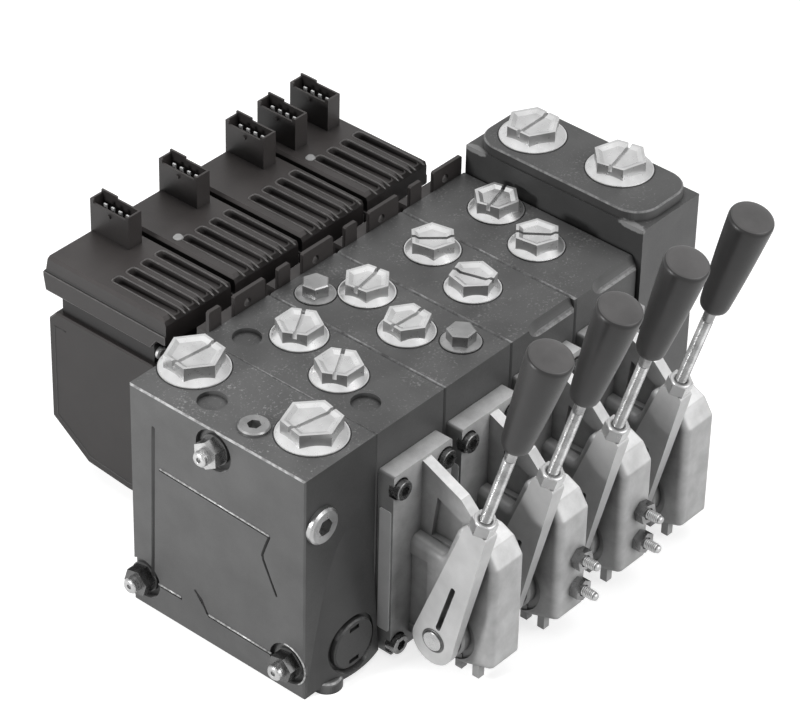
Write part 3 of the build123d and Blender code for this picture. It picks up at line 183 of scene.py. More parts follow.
# Camera, as fitted to the photograph, whose width is PHOTO_WIDTH pixels
CAMERA_AZIMUTH = math.radians(-49.765)
CAMERA_ELEVATION = math.radians(36.319)
CAMERA_ROLL = math.radians(1.445)
CAMERA_PLACE = (-1134.3, -947.6, 1181.2)
FOCAL_PIXELS = 3808.2
PHOTO_WIDTH = 800.0
SENSOR_WIDTH = 36.0

# Sockets of the Mix node that carry colors
MIX_A = 6
MIX_B = 7
MIX_RESULT = 2

TOWARD_INLET = (-1.0, 0.0, 0.0)
UPWARD = (0.0, 0.0, 1.0)


def section_centre(number):
    """The X of the middle of a section, counted from the inlet block."""
    return STACK_START + INLET_LENGTH + (number - 1) * SECTION_PITCH + SECTION_PITCH / 2


# Nodes for materials

def new_material(name):
    mat = bpy.data.materials.new(name)
    mat.use_nodes = True
    tree = mat.node_tree
    return mat, tree, tree.nodes["Principled BSDF"]


def object_place(tree):
    """The shaded point's place on its object, in metres."""
    return tree.nodes.new("ShaderNodeTexCoord").outputs["Object"]


def noise(tree, place, scale, detail, rough=0.55):
    node = tree.nodes.new("ShaderNodeTexNoise")
    node.inputs["Scale"].default_value = scale
    node.inputs["Detail"].default_value = detail
    node.inputs["Roughness"].default_value = rough
    tree.links.new(place, node.inputs["Vector"])
    return node.outputs["Fac"]


def grey(value, tint=(1.0, 1.0, 1.0)):
    return (value * tint[0], value * tint[1], value * tint[2], 1.0)


def tone_ramp(tree, source, dark, light, tint=(1.0, 1.0, 1.0)):
    """A color that runs from dark to light over the middle of a noise's range."""
    node = tree.nodes.new("ShaderNodeValToRGB")
    low, high = node.color_ramp.elements
    low.position = 0.3
    low.color = grey(dark, tint)
    high.position = 0.7
    high.color = grey(light, tint)
    tree.links.new(source, node.inputs["Fac"])
    return node.outputs["Color"]


def mix_color(tree, factor, a, b):
    """A blend of two colors, each a socket or a fixed color."""
    node = tree.nodes.new("ShaderNodeMix")
    node.data_type = "RGBA"
    tree.links.new(factor, node.inputs["Factor"])
    for value, key in ((a, MIX_A), (b, MIX_B)):
        if isinstance(value, tuple):
            node.inputs[key].default_value = value
        else:
            tree.links.new(value, node.inputs[key])
    return node.outputs[MIX_RESULT]


def scaled_color(tree, color, factor):
    """A color made darker or lighter by a factor, a number or a socket."""
    node = tree.nodes.new("ShaderNodeVectorMath")
    node.operation = "SCALE"
    tree.links.new(color, node.inputs[0])
    if isinstance(factor, float):
        node.inputs["Scale"].default_value = factor
    else:
        tree.links.new(factor, node.inputs["Scale"])
    return node.outputs[0]


def map_range(tree, source, low, high, to_low, to_high):
    node = tree.nodes.new("ShaderNodeMapRange")
    node.inputs["From Min"].default_value = low
    node.inputs["From Max"].default_value = high
    node.inputs["To Min"].default_value = to_low
    node.inputs["To Max"].default_value = to_high
    tree.links.new(source, node.inputs["Value"])
    return node.outputs["Result"]


def math_node(tree, operation, a, b=None):
    node = tree.nodes.new("ShaderNodeMath")
    node.operation = operation
    for index, value in enumerate((a, b)):
        if isinstance(value, float):
            node.inputs[index].default_value = value
        elif value is not None:
            tree.links.new(value, node.inputs[index])
    return node.outputs[0]


def vector_node(tree, operation, vector, other=None):
    """A vector operation between a socket and, where it needs one, a fixed vector."""
    node = tree.nodes.new("ShaderNodeVectorMath")
    node.operation = operation
    tree.links.new(vector, node.inputs[0])
    if other is not None:
        node.inputs[1].default_value = other
    return node.outputs


def split_vector(tree, vector):
    """The X, Y and Z parts of a vector."""
    split = tree.nodes.new("ShaderNodeSeparateXYZ")
    tree.links.new(vector, split.inputs[0])
    return split.outputs


def surface_direction(tree):
    return tree.nodes.new("ShaderNodeNewGeometry").outputs["True Normal"]


def bump(tree, shader, sources):
    """Chain bump nodes: each source is (height socket, strength, distance in metres)."""
    normal = None
    for height, strength, distance in sources:
        node = tree.nodes.new("ShaderNodeBump")
        node.inputs["Strength"].default_value = strength
        node.inputs["Distance"].default_value = distance
        tree.links.new(height, node.inputs["Height"])
        if normal is not None:
            tree.links.new(normal, node.inputs["Normal"])
        normal = node.outputs["Normal"]
    tree.links.new(normal, shader.inputs["Normal"])


def crevice_shade(tree, color, distance, depth):
    """Paint shade into a color in narrow gaps, darkening it by up to the share depth."""
    node = tree.nodes.new("ShaderNodeAmbientOcclusion")
    node.samples = 6
    node.inputs["Distance"].default_value = distance
    darkest = 0.25
    clear = 0.85
    open_share = map_range(tree, node.outputs["AO"], darkest, clear, 1.0 - depth, 1.0)
    return scaled_color(tree, color, open_share)


def paint_facing_light(tree, color, facing_light):
    """Paint light and shade on the faces that look in some directions, as factors on their color: (direction,
    factor).
    """
    begins = 0.78
    full = 0.94
    facing = surface_direction(tree)
    for direction, factor in facing_light:
        dot = vector_node(tree, "DOT_PRODUCT", facing, Vector(direction).normalized())
        share = map_range(tree, dot["Value"], begins, full, 0.0, 1.0)
        color = mix_color(tree, share, color, scaled_color(tree, color, factor))
    return color


def neck_shade(tree, place, color, factor):
    """Paint shade on the actuator's neck, which stands back under its cover."""
    rise = 0.5
    run = 4.0
    parts = split_vector(tree, place)
    above = map_range(tree, parts["Z"], NECK_BASE * MM, (NECK_BASE + rise) * MM, 0.0, 1.0)
    behind = map_range(tree, parts["Y"], NECK_NEAR * MM, (NECK_NEAR + run) * MM, 0.0, 1.0)
    mask = math_node(tree, "MULTIPLY", above, behind)
    return mix_color(tree, mask, color, scaled_color(tree, color, factor))


def slant_mask(tree, up, low, high):
    """One where a face neither stands upright nor lies level, such as a chamfer, and zero elsewhere."""
    fade_in = 0.08
    fade_out = 0.06
    size = math_node(tree, "ABSOLUTE", up)
    rising = map_range(tree, size, low, low + fade_in, 0.0, 1.0)
    falling = map_range(tree, size, high, high + fade_out, 1.0, 0.0)
    return math_node(tree, "MULTIPLY", rising, falling)


def local_mask(tree, place, middle, reach, ragged):
    """One near a place given in mm, out to the given reach along each axis, with a ragged border."""
    inner = 1.35
    outer = 1.6
    away = vector_node(tree, "SUBTRACT", place, [c * MM for c in middle])[0]
    share = vector_node(tree, "DIVIDE", away, [c * MM for c in reach])[0]
    size = vector_node(tree, "LENGTH", share)["Value"]
    border = math_node(tree, "ADD", size, ragged)
    return map_range(tree, border, inner, outer, 1.0, 0.0)


# Kinds of material

def finish_material(name, dark, light, rough, metallic=0.0, grain=1600.0, grain_depth=0.00004,
                    patch=60.0, crevice=0.0, hollow=0.0, neck=1.0, facing_light=(), tint=(1.0, 1.0, 1.0),
                    specular=0.5):
    """A general finish: large soft patches, fine grain with its bump, painted light and shade on faces by
    their direction, and painted shade in gaps and hollows and on the actuator's neck.
    """
    crevice_reach = 0.005
    hollow_reach = 0.03
    mat, tree, shader = new_material(name)
    place = object_place(tree)
    patches = noise(tree, place, patch, 4.0)
    color = tone_ramp(tree, patches, dark, light, tint)
    fine = noise(tree, place, grain, 2.0)
    # Painted light and shade on faces by their direction
    color = paint_facing_light(tree, color, facing_light)
    # Painted shade in narrow gaps and in wider hollows
    if crevice:
        color = crevice_shade(tree, color, crevice_reach, crevice)
    if hollow:
        color = crevice_shade(tree, color, hollow_reach, hollow)
    # Painted shade on the actuator's neck under its cover
    if neck < 1.0:
        color = neck_shade(tree, place, color, neck)
    tree.links.new(color, shader.inputs["Base Color"])
    spread = map_range(tree, fine, 0.3, 0.7, rough - 0.06, rough + 0.08)
    tree.links.new(spread, shader.inputs["Roughness"])
    shader.inputs["Metallic"].default_value = metallic
    shader.inputs["Specular IOR Level"].default_value = specular
    bump(tree, shader, [(patches, 0.25, 0.0004), (fine, 0.6, grain_depth)])
    return mat


def iron_material(name, dark, light, wear, fleck, end_painted_light=1.0, side_painted_light=0.55, rubbed=()):
    """Painted cast iron: soft patches, chamfers lightened as rubbed wear and as a painted highlight, flecks
    of bare metal on the level tops, and painted shade in narrow gaps.

    The upright faces towards -X and those towards -Y get painted shade or light by a factor on the level
    ones' tone, shade below one and light above.
    Each rubbed place is (middle, reach) in mm.
    """
    fleck_tone = grey(0.36)
    chamfer_wear_and_highlight_tone = grey(0.5)
    rubbed_tone = grey(0.3)
    rough = 0.42
    mat, tree, shader = new_material(name)
    place = object_place(tree)
    patches = noise(tree, place, 45.0, 5.0)
    color = tone_ramp(tree, patches, dark, light)
    # Painted shade and light on the faces towards -X and -Y
    color = paint_facing_light(tree, color, (((-1, 0, 0), end_painted_light), ((0, -1, 0), side_painted_light)))
    up = split_vector(tree, surface_direction(tree))["Z"]
    slant = slant_mask(tree, up, 0.55, 0.86)
    level = map_range(tree, up, 0.9, 0.98, 0.0, 1.0)
    spots = noise(tree, place, 750.0, 3.0, 0.7)
    where = noise(tree, place, 55.0, 3.0, 0.6)
    raised = math_node(tree, "ADD", spots, map_range(tree, where, 0.42, 0.66, 0.0, 0.1))
    spot_mask = map_range(tree, raised, 0.62, 0.76, 0.0, 0.6 * fleck)
    color = mix_color(tree, math_node(tree, "MULTIPLY", spot_mask, level), color, fleck_tone)
    # Chamfers lightened as rubbed wear and as a painted highlight
    rub = noise(tree, place, 260.0, 4.0, 0.7)
    wear_and_highlight_mask = map_range(tree, rub, 0.38, 0.62, 0.25 * wear, wear)
    color = mix_color(tree, math_node(tree, "MULTIPLY", wear_and_highlight_mask, slant), color, chamfer_wear_and_highlight_tone)
    for middle, reach in rubbed:
        mask = local_mask(tree, place, middle, reach, rub)
        color = mix_color(tree, math_node(tree, "MULTIPLY", mask, 0.8), color, rubbed_tone)
    # Painted shade in narrow gaps
    color = crevice_shade(tree, color, 0.0025, 0.75)
    tree.links.new(color, shader.inputs["Base Color"])
    fine = noise(tree, place, 1300.0, 2.0)
    spread = map_range(tree, fine, 0.3, 0.7, rough - 0.07, rough + 0.08)
    tree.links.new(spread, shader.inputs["Roughness"])
    shader.inputs["Specular IOR Level"].default_value = 0.25
    bump(tree, shader, [(patches, 0.25, 0.0005), (fine, 0.5, 0.00004)])
    return mat


def plated_material(name, dark, light, rough, metallic, facing=1.0, low=1.0):
    """Bright plating: clean smooth facets with only slow changes of tone, and painted light and shade.

    Upright facets towards the inlet's lever-side corner may get painted shade, darker than the rest by the
    factor facing, pieces near the base may get painted shade, darker by the factor low, and level facets get
    painted light where they tilt towards -X and painted shade where they tilt towards +X.
    """
    mat, tree, shader = new_material(name)
    place = object_place(tree)
    slow = noise(tree, place, 90.0, 2.0)
    color = tone_ramp(tree, slow, dark, light)
    # Painted shade on the upright facets towards the inlet's lever-side corner
    color = paint_facing_light(tree, color, (((-0.86, -0.5, 0), facing),))
    direction = split_vector(tree, surface_direction(tree))
    height = split_vector(tree, place)["Z"]
    # Painted shade on pieces near the base
    color = scaled_color(tree, color, map_range(tree, height, 0.04, 0.08, low, 1.0))
    # Painted light on level facets tilted towards -X, painted shade on those tilted towards +X
    tilt_light = map_range(tree, direction["X"], -0.2, 0.2, 1.2, 0.82)
    level = map_range(tree, direction["Z"], 0.6, 0.8, 0.0, 1.0)
    color = mix_color(tree, level, color, scaled_color(tree, color, tilt_light))
    tree.links.new(color, shader.inputs["Base Color"])
    fine = noise(tree, place, 380.0, 2.0)
    spread = map_range(tree, fine, 0.3, 0.7, rough - 0.04, rough + 0.06)
    tree.links.new(spread, shader.inputs["Roughness"])
    shader.inputs["Metallic"].default_value = metallic
    bump(tree, shader, [(slow, 0.25, 0.0003), (fine, 0.1, 0.00002)])
    return mat


# The materials: painted iron

# The -X and -Y faces get painted shade where the factor is below one and painted light where it is above
iron = iron_material("painted_iron", 0.094, 0.124, 0.9, 1.15, end_painted_light=0.86, side_painted_light=0.47)
section_iron = iron_material("section_iron", 0.086, 0.112, 0.55, 0.7, side_painted_light=0.8)
end_iron = iron_material("end_iron", 0.08, 0.1, 0.4, 0.5, end_painted_light=0.55, side_painted_light=1.22,
                         rubbed=RUBBED_CORNERS)
dark_iron = iron_material("blacked_iron", 0.05, 0.065, 0.3, 0.0)
# Softened iron edges lightened as wear and as a painted highlight; the same lighter iron is the painted
# highlight on the inlet's cast lines and rim
iron_edge_wear_and_highlight = finish_material("iron_edge_wear_and_painted_highlight", 0.14, 0.62, 0.4, metallic=0.2, grain=900.0, patch=420.0)
washer_iron = finish_material("washer_iron", 0.06, 0.09, 0.4, metallic=0.2, grain=900.0, patch=220.0)
# Near-black beads painted as the shade in the inlet face's grooves
dark_line_shade = finish_material("cast_line_shade", 0.012, 0.02, 0.6, grain=900.0, specular=0.15)
side_line_shade = finish_material("side_line_shade", 0.036, 0.048, 0.6, grain=900.0, specular=0.15)

# Plated and plain steel

# The factor facing paints shade on the facets towards the inlet's lever-side corner
zinc = plated_material("zinc_plate", 0.52, 0.66, 0.3, 0.75, facing=0.5)
dull_zinc = plated_material("dull_plate", 0.24, 0.34, 0.3, 0.75, facing=0.5)
rod_zinc = plated_material("rod_plate", 0.2, 0.38, 0.28, 0.8)
steel = plated_material("plain_steel", 0.36, 0.5, 0.26, 0.9)
socket_steel = plated_material("socket_steel", 0.24, 0.4, 0.3, 0.85)
# Painted shade on the nuts and threads near the base
nut_steel = plated_material("nut_steel", 0.3, 0.48, 0.26, 0.9, low=0.3)
stop_steel = plated_material("stop_steel", 0.14, 0.32, 0.24, 0.9)
# Blackened steel, also the near-black discs painted as shade in the dimples of the tie rod ends
dark_steel_and_shade = finish_material("blacked_steel_and_painted_shade", 0.06, 0.13, 0.36, metallic=0.5, grain=900.0, patch=220.0)
screw_steel = finish_material("dull_screw_steel", 0.1, 0.26, 0.26, metallic=0.85, grain=900.0, patch=260.0)

# Cast and pressed light alloy

# Painted shade in gaps and hollows and on faces towards -X, painted light on faces towards the top and on
# those that look up and out to the lever side
alloy = finish_material("cast_alloy", 0.38, 0.54, 0.46, metallic=0.15, crevice=0.5, hollow=0.5,
                        facing_light=(((-1, 0, 0), 0.95), ((0, 0, 1), 1.6), ((0, -0.6, 0.8), 1.25)),
                        grain=1300.0, patch=90.0, grain_depth=0.00006)
# Painted highlight on the softened edges of the cast alloy
alloy_edge_highlight = finish_material("cast_alloy_edge_highlight", 0.5, 0.9, 0.36, metallic=0.25, grain=900.0, patch=300.0)
# Painted shade in narrow gaps, such as the arm's slot
arm_alloy = finish_material("pressed_alloy", 0.48, 0.6, 0.38, metallic=0.3, crevice=0.85, grain=1800.0,
                            grain_depth=0.00003)
plate_alloy = finish_material("label_plate", 0.8, 0.88, 0.34, grain=1800.0, grain_depth=0.00001)

# Plastics and rubber, and a near-black that also stands as painted shade

# Painted shade in gaps and on faces towards -X
moulding = {"grain": 2600.0, "grain_depth": 0.00003, "patch": 40.0, "crevice": 0.62,
            "facing_light": (((-1, 0, 0), 0.5),), "tint": (1.0, 0.9, 0.88)}
plastic = finish_material("moulded_black", 0.036, 0.048, 0.42, specular=0.36, **moulding)
# Painted shade on the actuator's neck
housing_plastic = finish_material("moulded_housing", 0.036, 0.048, 0.42, specular=0.3, neck=0.3, **moulding)
# Painted highlight on the softened edges of the mouldings, on the crest beads and on the bands
plastic_edge_highlight = finish_material("moulded_black_edge_highlight", 0.055, 0.105, 0.36, grain=900.0, grain_depth=0.00003,
                               patch=300.0, tint=(1.0, 0.95, 0.93))
# Painted light on the grip's end cap, which faces along the lever
grip_plastic = finish_material("grip_black", 0.018, 0.027, 0.38, grain=2200.0, grain_depth=0.00003,
                               patch=50.0, facing_light=(((0, -0.29, 0.96), 4.4),), tint=(1.0, 0.97, 0.97),
                               specular=0.36)
# Seal rubber, also the near-black strips painted as shade: the panel lines and the strips above the cover
# bands
seal_and_shade_black = finish_material("seal_rubber_and_painted_shade", 0.02, 0.03, 0.6, grain=2000.0)
lens_plastic = finish_material("lens_plastic", 0.26, 0.34, 0.15, grain=900.0, grain_depth=0.00001)

material_of_node = {
    "inlet_block": iron, "end_block": end_iron, "tie_rods": steel, "tie_rod_nuts": nut_steel,
    "tie_rod_washers": washer_iron, "section_seals": seal_and_shade_black, "inlet_port_plugs": zinc,
    "work_port_plugs": zinc, "end_port_plugs": zinc, "shock_valve_plugs": dull_zinc,
    "socket_plugs": socket_steel, "relief_valve_plug": dark_iron, "lever_housing_screws": screw_steel,
    "actuator_screws": dark_steel_and_shade, "flow_stop_screws": steel, "flow_stop_nuts": stop_steel,
    "centring_springs": steel, "connector_pins": zinc, "status_lenses": lens_plastic,
    "cover_screws": zinc,
}
material_of_numbered_node = {
    "section_block": section_iron, "lever_housing": alloy, "lever_arm": arm_alloy, "lever_rod": rod_zinc,
    "lever_nut": zinc, "lever_grip": grip_plastic, "lever_crank": steel, "spool": steel,
    "actuator_housing": housing_plastic, "electronics_cover": plastic,
}

# The width in mm of the softened edges, and the materials whose edges have another material, a painted
# highlight that on iron is also wear
edge_width = {"inlet_block": 0.6, "end_block": 0.6, "lever_housing": 0.5, "section_block": 0.3,
              "electronics_cover": 0.35, "actuator_housing": 1.0, "lever_arm": 0.4,
              "inlet_port_plugs": 0.25, "work_port_plugs": 0.25, "end_port_plugs": 0.25,
              "shock_valve_plugs": 0.25, "tie_rod_nuts": 0.3, "lever_nut": 0.25, "flow_stop_nuts": 0.25}
edge_material = {iron: iron_edge_wear_and_highlight, plastic: plastic_edge_highlight, housing_plastic: plastic_edge_highlight, alloy: alloy_edge_highlight}
EDGE_ANGLE = math.radians(32)


def dress(name, mat, width):
    """Give a carried-over node its material and, where it has a width, softened edges, which take the painted
    highlight of its edge material where there is one.
    """
    obj = nodes[name]
    obj.data.materials.clear()
    obj.data.materials.append(mat)
    edge = edge_material.get(mat)
    if edge:
        obj.data.materials.append(edge)
    if width:
        modifier = obj.modifiers.new("edges", "BEVEL")
        modifier.width = width * MM
        modifier.segments = 1 if mat in (iron, section_iron, end_iron) else 2
        modifier.limit_method = "ANGLE"
        modifier.angle_limit = EDGE_ANGLE
        modifier.harden_normals = False
        modifier.use_clamp_overlap = True
        if edge:
            # The softened edges take the edge material, a painted highlight
            modifier.material = 1


for name, mat in material_of_node.items():
    dress(name, mat, edge_width.get(name, 0.0))
for number in range(1, SECTIONS + 1):
    for name, mat in material_of_numbered_node.items():
        dress(f"{name}_{number}", mat, edge_width.get(name, 0.0))


# Shapes, each as (verts, faces) in mm

def lathe(profile, steps):
    """Turn (radius, height) points about +Z, closed with a flat face at both ends."""
    verts = []
    faces = []
    for r, z in profile:
        for k in range(steps):
            a = 2 * math.pi * k / steps
            verts.append((r * math.cos(a), r * math.sin(a), z))
    rings = len(profile)
    for i in range(rings - 1):
        for k in range(steps):
            j = (k + 1) % steps
            faces.append((i * steps + k, i * steps + j, (i + 1) * steps + j, (i + 1) * steps + k))
    faces.append(tuple(reversed(range(steps))))
    faces.append(tuple((rings - 1) * steps + k for k in range(steps)))
    return verts, faces


def turned_ring(outline, steps):
    """Turn a closed outline of (radius, height) points about +Z into a ring."""
    count = len(outline)
    verts = []
    faces = []
    for k in range(steps):
        a = 2 * math.pi * k / steps
        verts += [(r * math.cos(a), r * math.sin(a), z) for r, z in outline]
    for k in range(steps):
        here = k * count
        ahead = (k + 1) % steps * count
        for i in range(count):
            j = (i + 1) % count
            faces.append((here + i, here + j, ahead + j, ahead + i))
    return verts, faces


def thread(radius, pitch, low, high, depth, steps=24, rows=6):
    """A threaded rod along +Z from low to high, with tapered ends."""
    verts = []
    faces = []
    taper = pitch * 0.8
    count = int((high - low) / pitch * rows)
    for i in range(count + 1):
        z = low + (high - low) * i / count
        for k in range(steps):
            phase = (z / pitch - k / steps) % 1.0
            crest = abs(2 * phase - 1)
            near_end = min(z - low, high - z) / taper
            r = radius - depth * crest - max(0.0, 1.0 - near_end) * depth
            a = 2 * math.pi * k / steps
            verts.append((r * math.cos(a), r * math.sin(a), z))
    for i in range(count):
        for k in range(steps):
            j = (k + 1) % steps
            faces.append((i * steps + k, i * steps + j, (i + 1) * steps + j, (i + 1) * steps + k))
    faces.append(tuple(reversed(range(steps))))
    faces.append(tuple(count * steps + k for k in range(steps)))
    return verts, faces


def bead(points, radius, outward_way, steps=8):
    """A half-sunk bead along points on a face that looks outward_way."""
    verts = []
    faces = []
    last = len(points) - 1
    out_way = Vector(outward_way)
    for i, point in enumerate(points):
        ahead = Vector(points[min(i + 1, last)])
        behind = Vector(points[max(i - 1, 0)])
        side = out_way.cross(ahead - behind).normalized()
        for k in range(steps):
            a = 2 * math.pi * k / steps
            verts.append(tuple(Vector(point) + radius * (math.cos(a) * side + math.sin(a) * out_way)))
    for i in range(last):
        for k in range(steps):
            j = (k + 1) % steps
            faces.append((i * steps + k, i * steps + j, (i + 1) * steps + j, (i + 1) * steps + k))
    faces.append(tuple(reversed(range(steps))))
    faces.append(tuple(last * steps + k for k in range(steps)))
    return verts, faces


def slab(x_range, outline):
    """A flat slab that faces along X, from its (y, z) outline."""
    count = len(outline)
    verts = [(x, y, z) for x in x_range for y, z in outline]
    faces = [tuple(range(count)), tuple(reversed(range(count, 2 * count)))]
    for i in range(count):
        j = (i + 1) % count
        faces.append((i, i + count, j + count, j))
    return verts, faces


def placed(shape, matrix):
    """A shape moved and turned by a matrix."""
    verts, faces = shape
    return [tuple(matrix @ Vector(v)) for v in verts], faces


def join(shapes):
    """One shape made of several."""
    verts = []
    faces = []
    for part_verts, part_faces in shapes:
        base = len(verts)
        verts += part_verts
        faces += [tuple(i + base for i in face) for face in part_faces]
    return verts, faces


def make_object(name, shape, mat, body, smooth=True):
    """Make a piece of the object from a shape, riding on a body of the frame."""
    verts, faces = shape
    mesh = bpy.data.meshes.new(name)
    mesh.from_pydata([tuple(c * MM for c in v) for v in verts], [], faces)
    mesh.validate()
    mesh.update()
    obj = bpy.data.objects.new(name, mesh)
    bpy.context.scene.collection.objects.link(obj)
    obj.data.materials.append(mat)
    if smooth:
        mesh.polygons.foreach_set("use_smooth", [True] * len(mesh.polygons))
    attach(obj, body)
    return obj


def turned_place(x, y, z, degrees, axis):
    """A matrix that moves a shape made along +Z to a place and turns it about one axis."""
    return Matrix.Translation((x, y, z)) @ Matrix.Rotation(math.radians(degrees), 4, axis)


# Levers: threaded rod, chamfered face of the nut, and grip

def lever_place(number):
    """A matrix from the lever's own frame, with +Z along it from the pivot, to the lever at rest."""
    return (Matrix.Translation((section_centre(number) + ARM_X, LEVER_FACE - PIVOT_OUT, PIVOT_HEIGHT))
            @ Matrix.Rotation(LEVER_LEAN, 4, "X"))


def rod_shape():
    """A threaded stud that ends in a plain stretch inside the grip."""
    overlap = 0.5
    runout = 0.2
    low, high = ROD_THREAD
    neck = (ROD_RADIUS - ROD_NECK_STEP, high - overlap)
    plain_radius = ROD_RADIUS - ROD_PLAIN_STEP
    stud = thread(ROD_RADIUS, ROD_PITCH, low, high, ROD_THREAD_DEPTH)
    plain = lathe([neck, (plain_radius, high + runout), (plain_radius, ROD_TOP)], steps=32)
    return join([stud, plain])


def nut_face_shape():
    top = ARM_LENGTH + NUT_HEIGHT
    return turned_ring([(r, top + z) for r, z in NUT_FACE], steps=40)


def grip_shape():
    """A tapered grip: a rounded foot, a slightly swollen flare and a domed cap."""
    rod_gap = 0.1
    rows = 12
    foot_radius, foot_top = GRIP_FOOT[-1]
    profile = [(ROD_RADIUS + rod_gap, GRIP_FOOT[0][1])]
    profile += GRIP_FOOT
    for i in range(1, rows):
        t = i / rows
        radius = foot_radius + GRIP_FLARE * t + GRIP_SWELL * math.sin(math.pi * t)
        profile.append((radius, foot_top + GRIP_FLARE_LENGTH * t))
    profile += GRIP_CAP
    return lathe(profile, steps=96)


for n in range(1, SECTIONS + 1):
    place = lever_place(n)
    rod = make_object(f"threaded_rod_{n}", placed(rod_shape(), place), rod_zinc, f"lever_{n}")
    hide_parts(f"lever_rod_{n}")
    make_object(f"nut_face_{n}", placed(nut_face_shape(), place), zinc, f"lever_{n}")
    grip = make_object(f"grip_{n}", placed(grip_shape(), place), grip_plastic, f"lever_{n}")
    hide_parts(f"lever_grip_{n}")


# Threads at both ends of the tie rods, with rounded and dimpled ends at the inlet block, each dimple holding
# a near-black disc painted as its shade

threads = []
for y, z in TIE_RODS:
    for x in ROD_END_X:
        shape = thread(ROD_END_RADIUS, ROD_END_PITCH, 0.0, ROD_END_LENGTH, ROD_END_DEPTH)
        threads.append(placed(shape, turned_place(x, y, z, 90, "Y")))
make_object("tie_rod_threads", join(threads), nut_steel, "stack")

caps = []
dimple_shades = []
for y, z in TIE_RODS:
    place = turned_place(ROD_END_X[0], y, z, -90, "Y")
    caps.append(placed(lathe(ROD_CAP, steps=40), place))
    dimple_shades.append(placed(lathe(ROD_DIMPLE_SHADE, steps=24), place))
make_object("tie_rod_caps", join(caps), steel, "stack")
make_object("tie_rod_dimple_shades", join(dimple_shades), dark_steel_and_shade, "stack")


# Stop screws on the lobes of the lever housings

screws = []
for n in STOP_SECTIONS:
    for z in STOP_HEIGHTS:
        place = turned_place(section_centre(n) + STOP_X, LEVER_FACE - LOBE_REACH, z, 90, "X")
        screws.append(placed(thread(STOP_RADIUS, STOP_PITCH, *STOP_THREAD, STOP_THREAD_DEPTH), place))
        screws.append(placed(lathe(STOP_TIP, steps=32), place))
stops = make_object("stop_screws", join(screws), steel, "stack")
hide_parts("flow_stop_screws")


# Lines cast into the inlet face and the actuator sides, drawn as beads of painted highlight and painted
# shade, and crests beside the cooling grooves with a painted highlight

def inlet_line(line, depth, rise=0.0):
    """Points on the inlet face, sunk by depth, from (y from the lever face, z) pairs."""
    return [(STACK_START + depth, LEVER_FACE + y, z + rise) for y, z in line]


def rim_arc():
    """A painted highlight on the lit part of the counterbore's rim round the lower lever-side tie rod."""
    y, z = TIE_RODS[2]
    points = []
    for k in range(RIM_ARC_STEPS + 1):
        a = math.radians(RIM_ARC_START + RIM_ARC_SWEEP * k / RIM_ARC_STEPS)
        points.append((STACK_START, y - RIM_ARC_RADIUS * math.cos(a), z + RIM_ARC_RADIUS * math.sin(a)))
    return points


def crest_line(x):
    """The crests beside one cooling groove, beads with a painted highlight: round its far end, and open where
    it runs out at the near end.
    """
    near = ACTUATOR_FACE + GROOVE_NEAR
    far = ACTUATOR_FACE + GROOVE_FAR
    points = []
    for y, stretch in ((near, CREST_IN), (far, CREST_TURN), (near, CREST_OUT)):
        points += [(x + across, y + along, COVER_TOP) for across, along in stretch]
    return points


# Beads of painted highlight on the inlet's bright cast lines and on part of a counterbore's rim
beads = []
for line in BRIGHT_LINES:
    beads.append(bead(inlet_line(line, 0.0, BRIGHT_LINE_RISE), BRIGHT_LINE_RADIUS, TOWARD_INLET))
beads.append(bead(rim_arc(), RIM_ARC_BEAD, TOWARD_INLET))
make_object("inlet_highlights", join(beads), iron_edge_wear_and_highlight, "stack")

# Near-black beads sunk into the inlet face, painted as the shade in its grooves
beads = []
for line in DARK_LINES:
    beads.append(bead(inlet_line(line, DARK_LINE_DEPTH), DARK_LINE_RADIUS, TOWARD_INLET))
make_object("cast_line_shades", join(beads), dark_line_shade, "stack")
shape = bead(inlet_line(SIDE_LINE, SIDE_LINE_DEPTH), SIDE_LINE_RADIUS, TOWARD_INLET, steps=24)
make_object("side_line_shade", shape, side_line_shade, "stack")

# Near-black beads painted as the shade of each actuator side's panel line
for n in range(1, SECTIONS + 1):
    side_x = section_centre(n) - UNIT_HALF + PANEL_LINE_DEPTH
    line = [(side_x, ACTUATOR_FACE + y, z) for y, z in PANEL_LINE]
    shape = bead(line, PANEL_LINE_RADIUS, TOWARD_INLET)
    make_object(f"panel_line_shade_{n}", shape, seal_and_shade_black, "stack")

# Crest beads in a lighter material, painted as highlights
for n in range(1, SECTIONS + 1):
    crests = []
    for index in range(GROOVES):
        x = section_centre(n) - SECTION_PITCH / 2 + GROOVE_FIRST + index * GROOVE_PITCH
        crests.append(bead(crest_line(x), CREST_RADIUS, UPWARD))
    make_object(f"cover_crest_highlights_{n}", join(crests), plastic_edge_highlight, "stack")


# Band round each cover's skirt, with painted highlights on its softened edges, and a near-black strip above
# it painted as the shade of a groove

for n in range(1, SECTIONS + 1):
    bands = []
    groove_shades = []
    for side in (-1, 1):
        wall = section_centre(n) + side * COVER_HALF
        inner = wall - side * SUNK_INTO_WALL
        bands.append(slab((inner, wall + side * BAND_PROUD), BAND_OUTLINE))
        groove_shades.append(slab((inner, wall + side * GROOVE_SHADE_PROUD), GROOVE_SHADE_OUTLINE))
    band = make_object(f"cover_band_{n}", join(bands), plastic, "stack", smooth=False)
    band.data.materials.append(plastic_edge_highlight)
    soften = band.modifiers.new("edges", "BEVEL")
    soften.width = BAND_EDGE * MM
    soften.segments = 2
    soften.material = 1
    make_object(f"cover_groove_shade_{n}", join(groove_shades), seal_and_shade_black, "stack", smooth=False)


# Bare plates on the lever housings, and the rings that hold the levers on their shafts

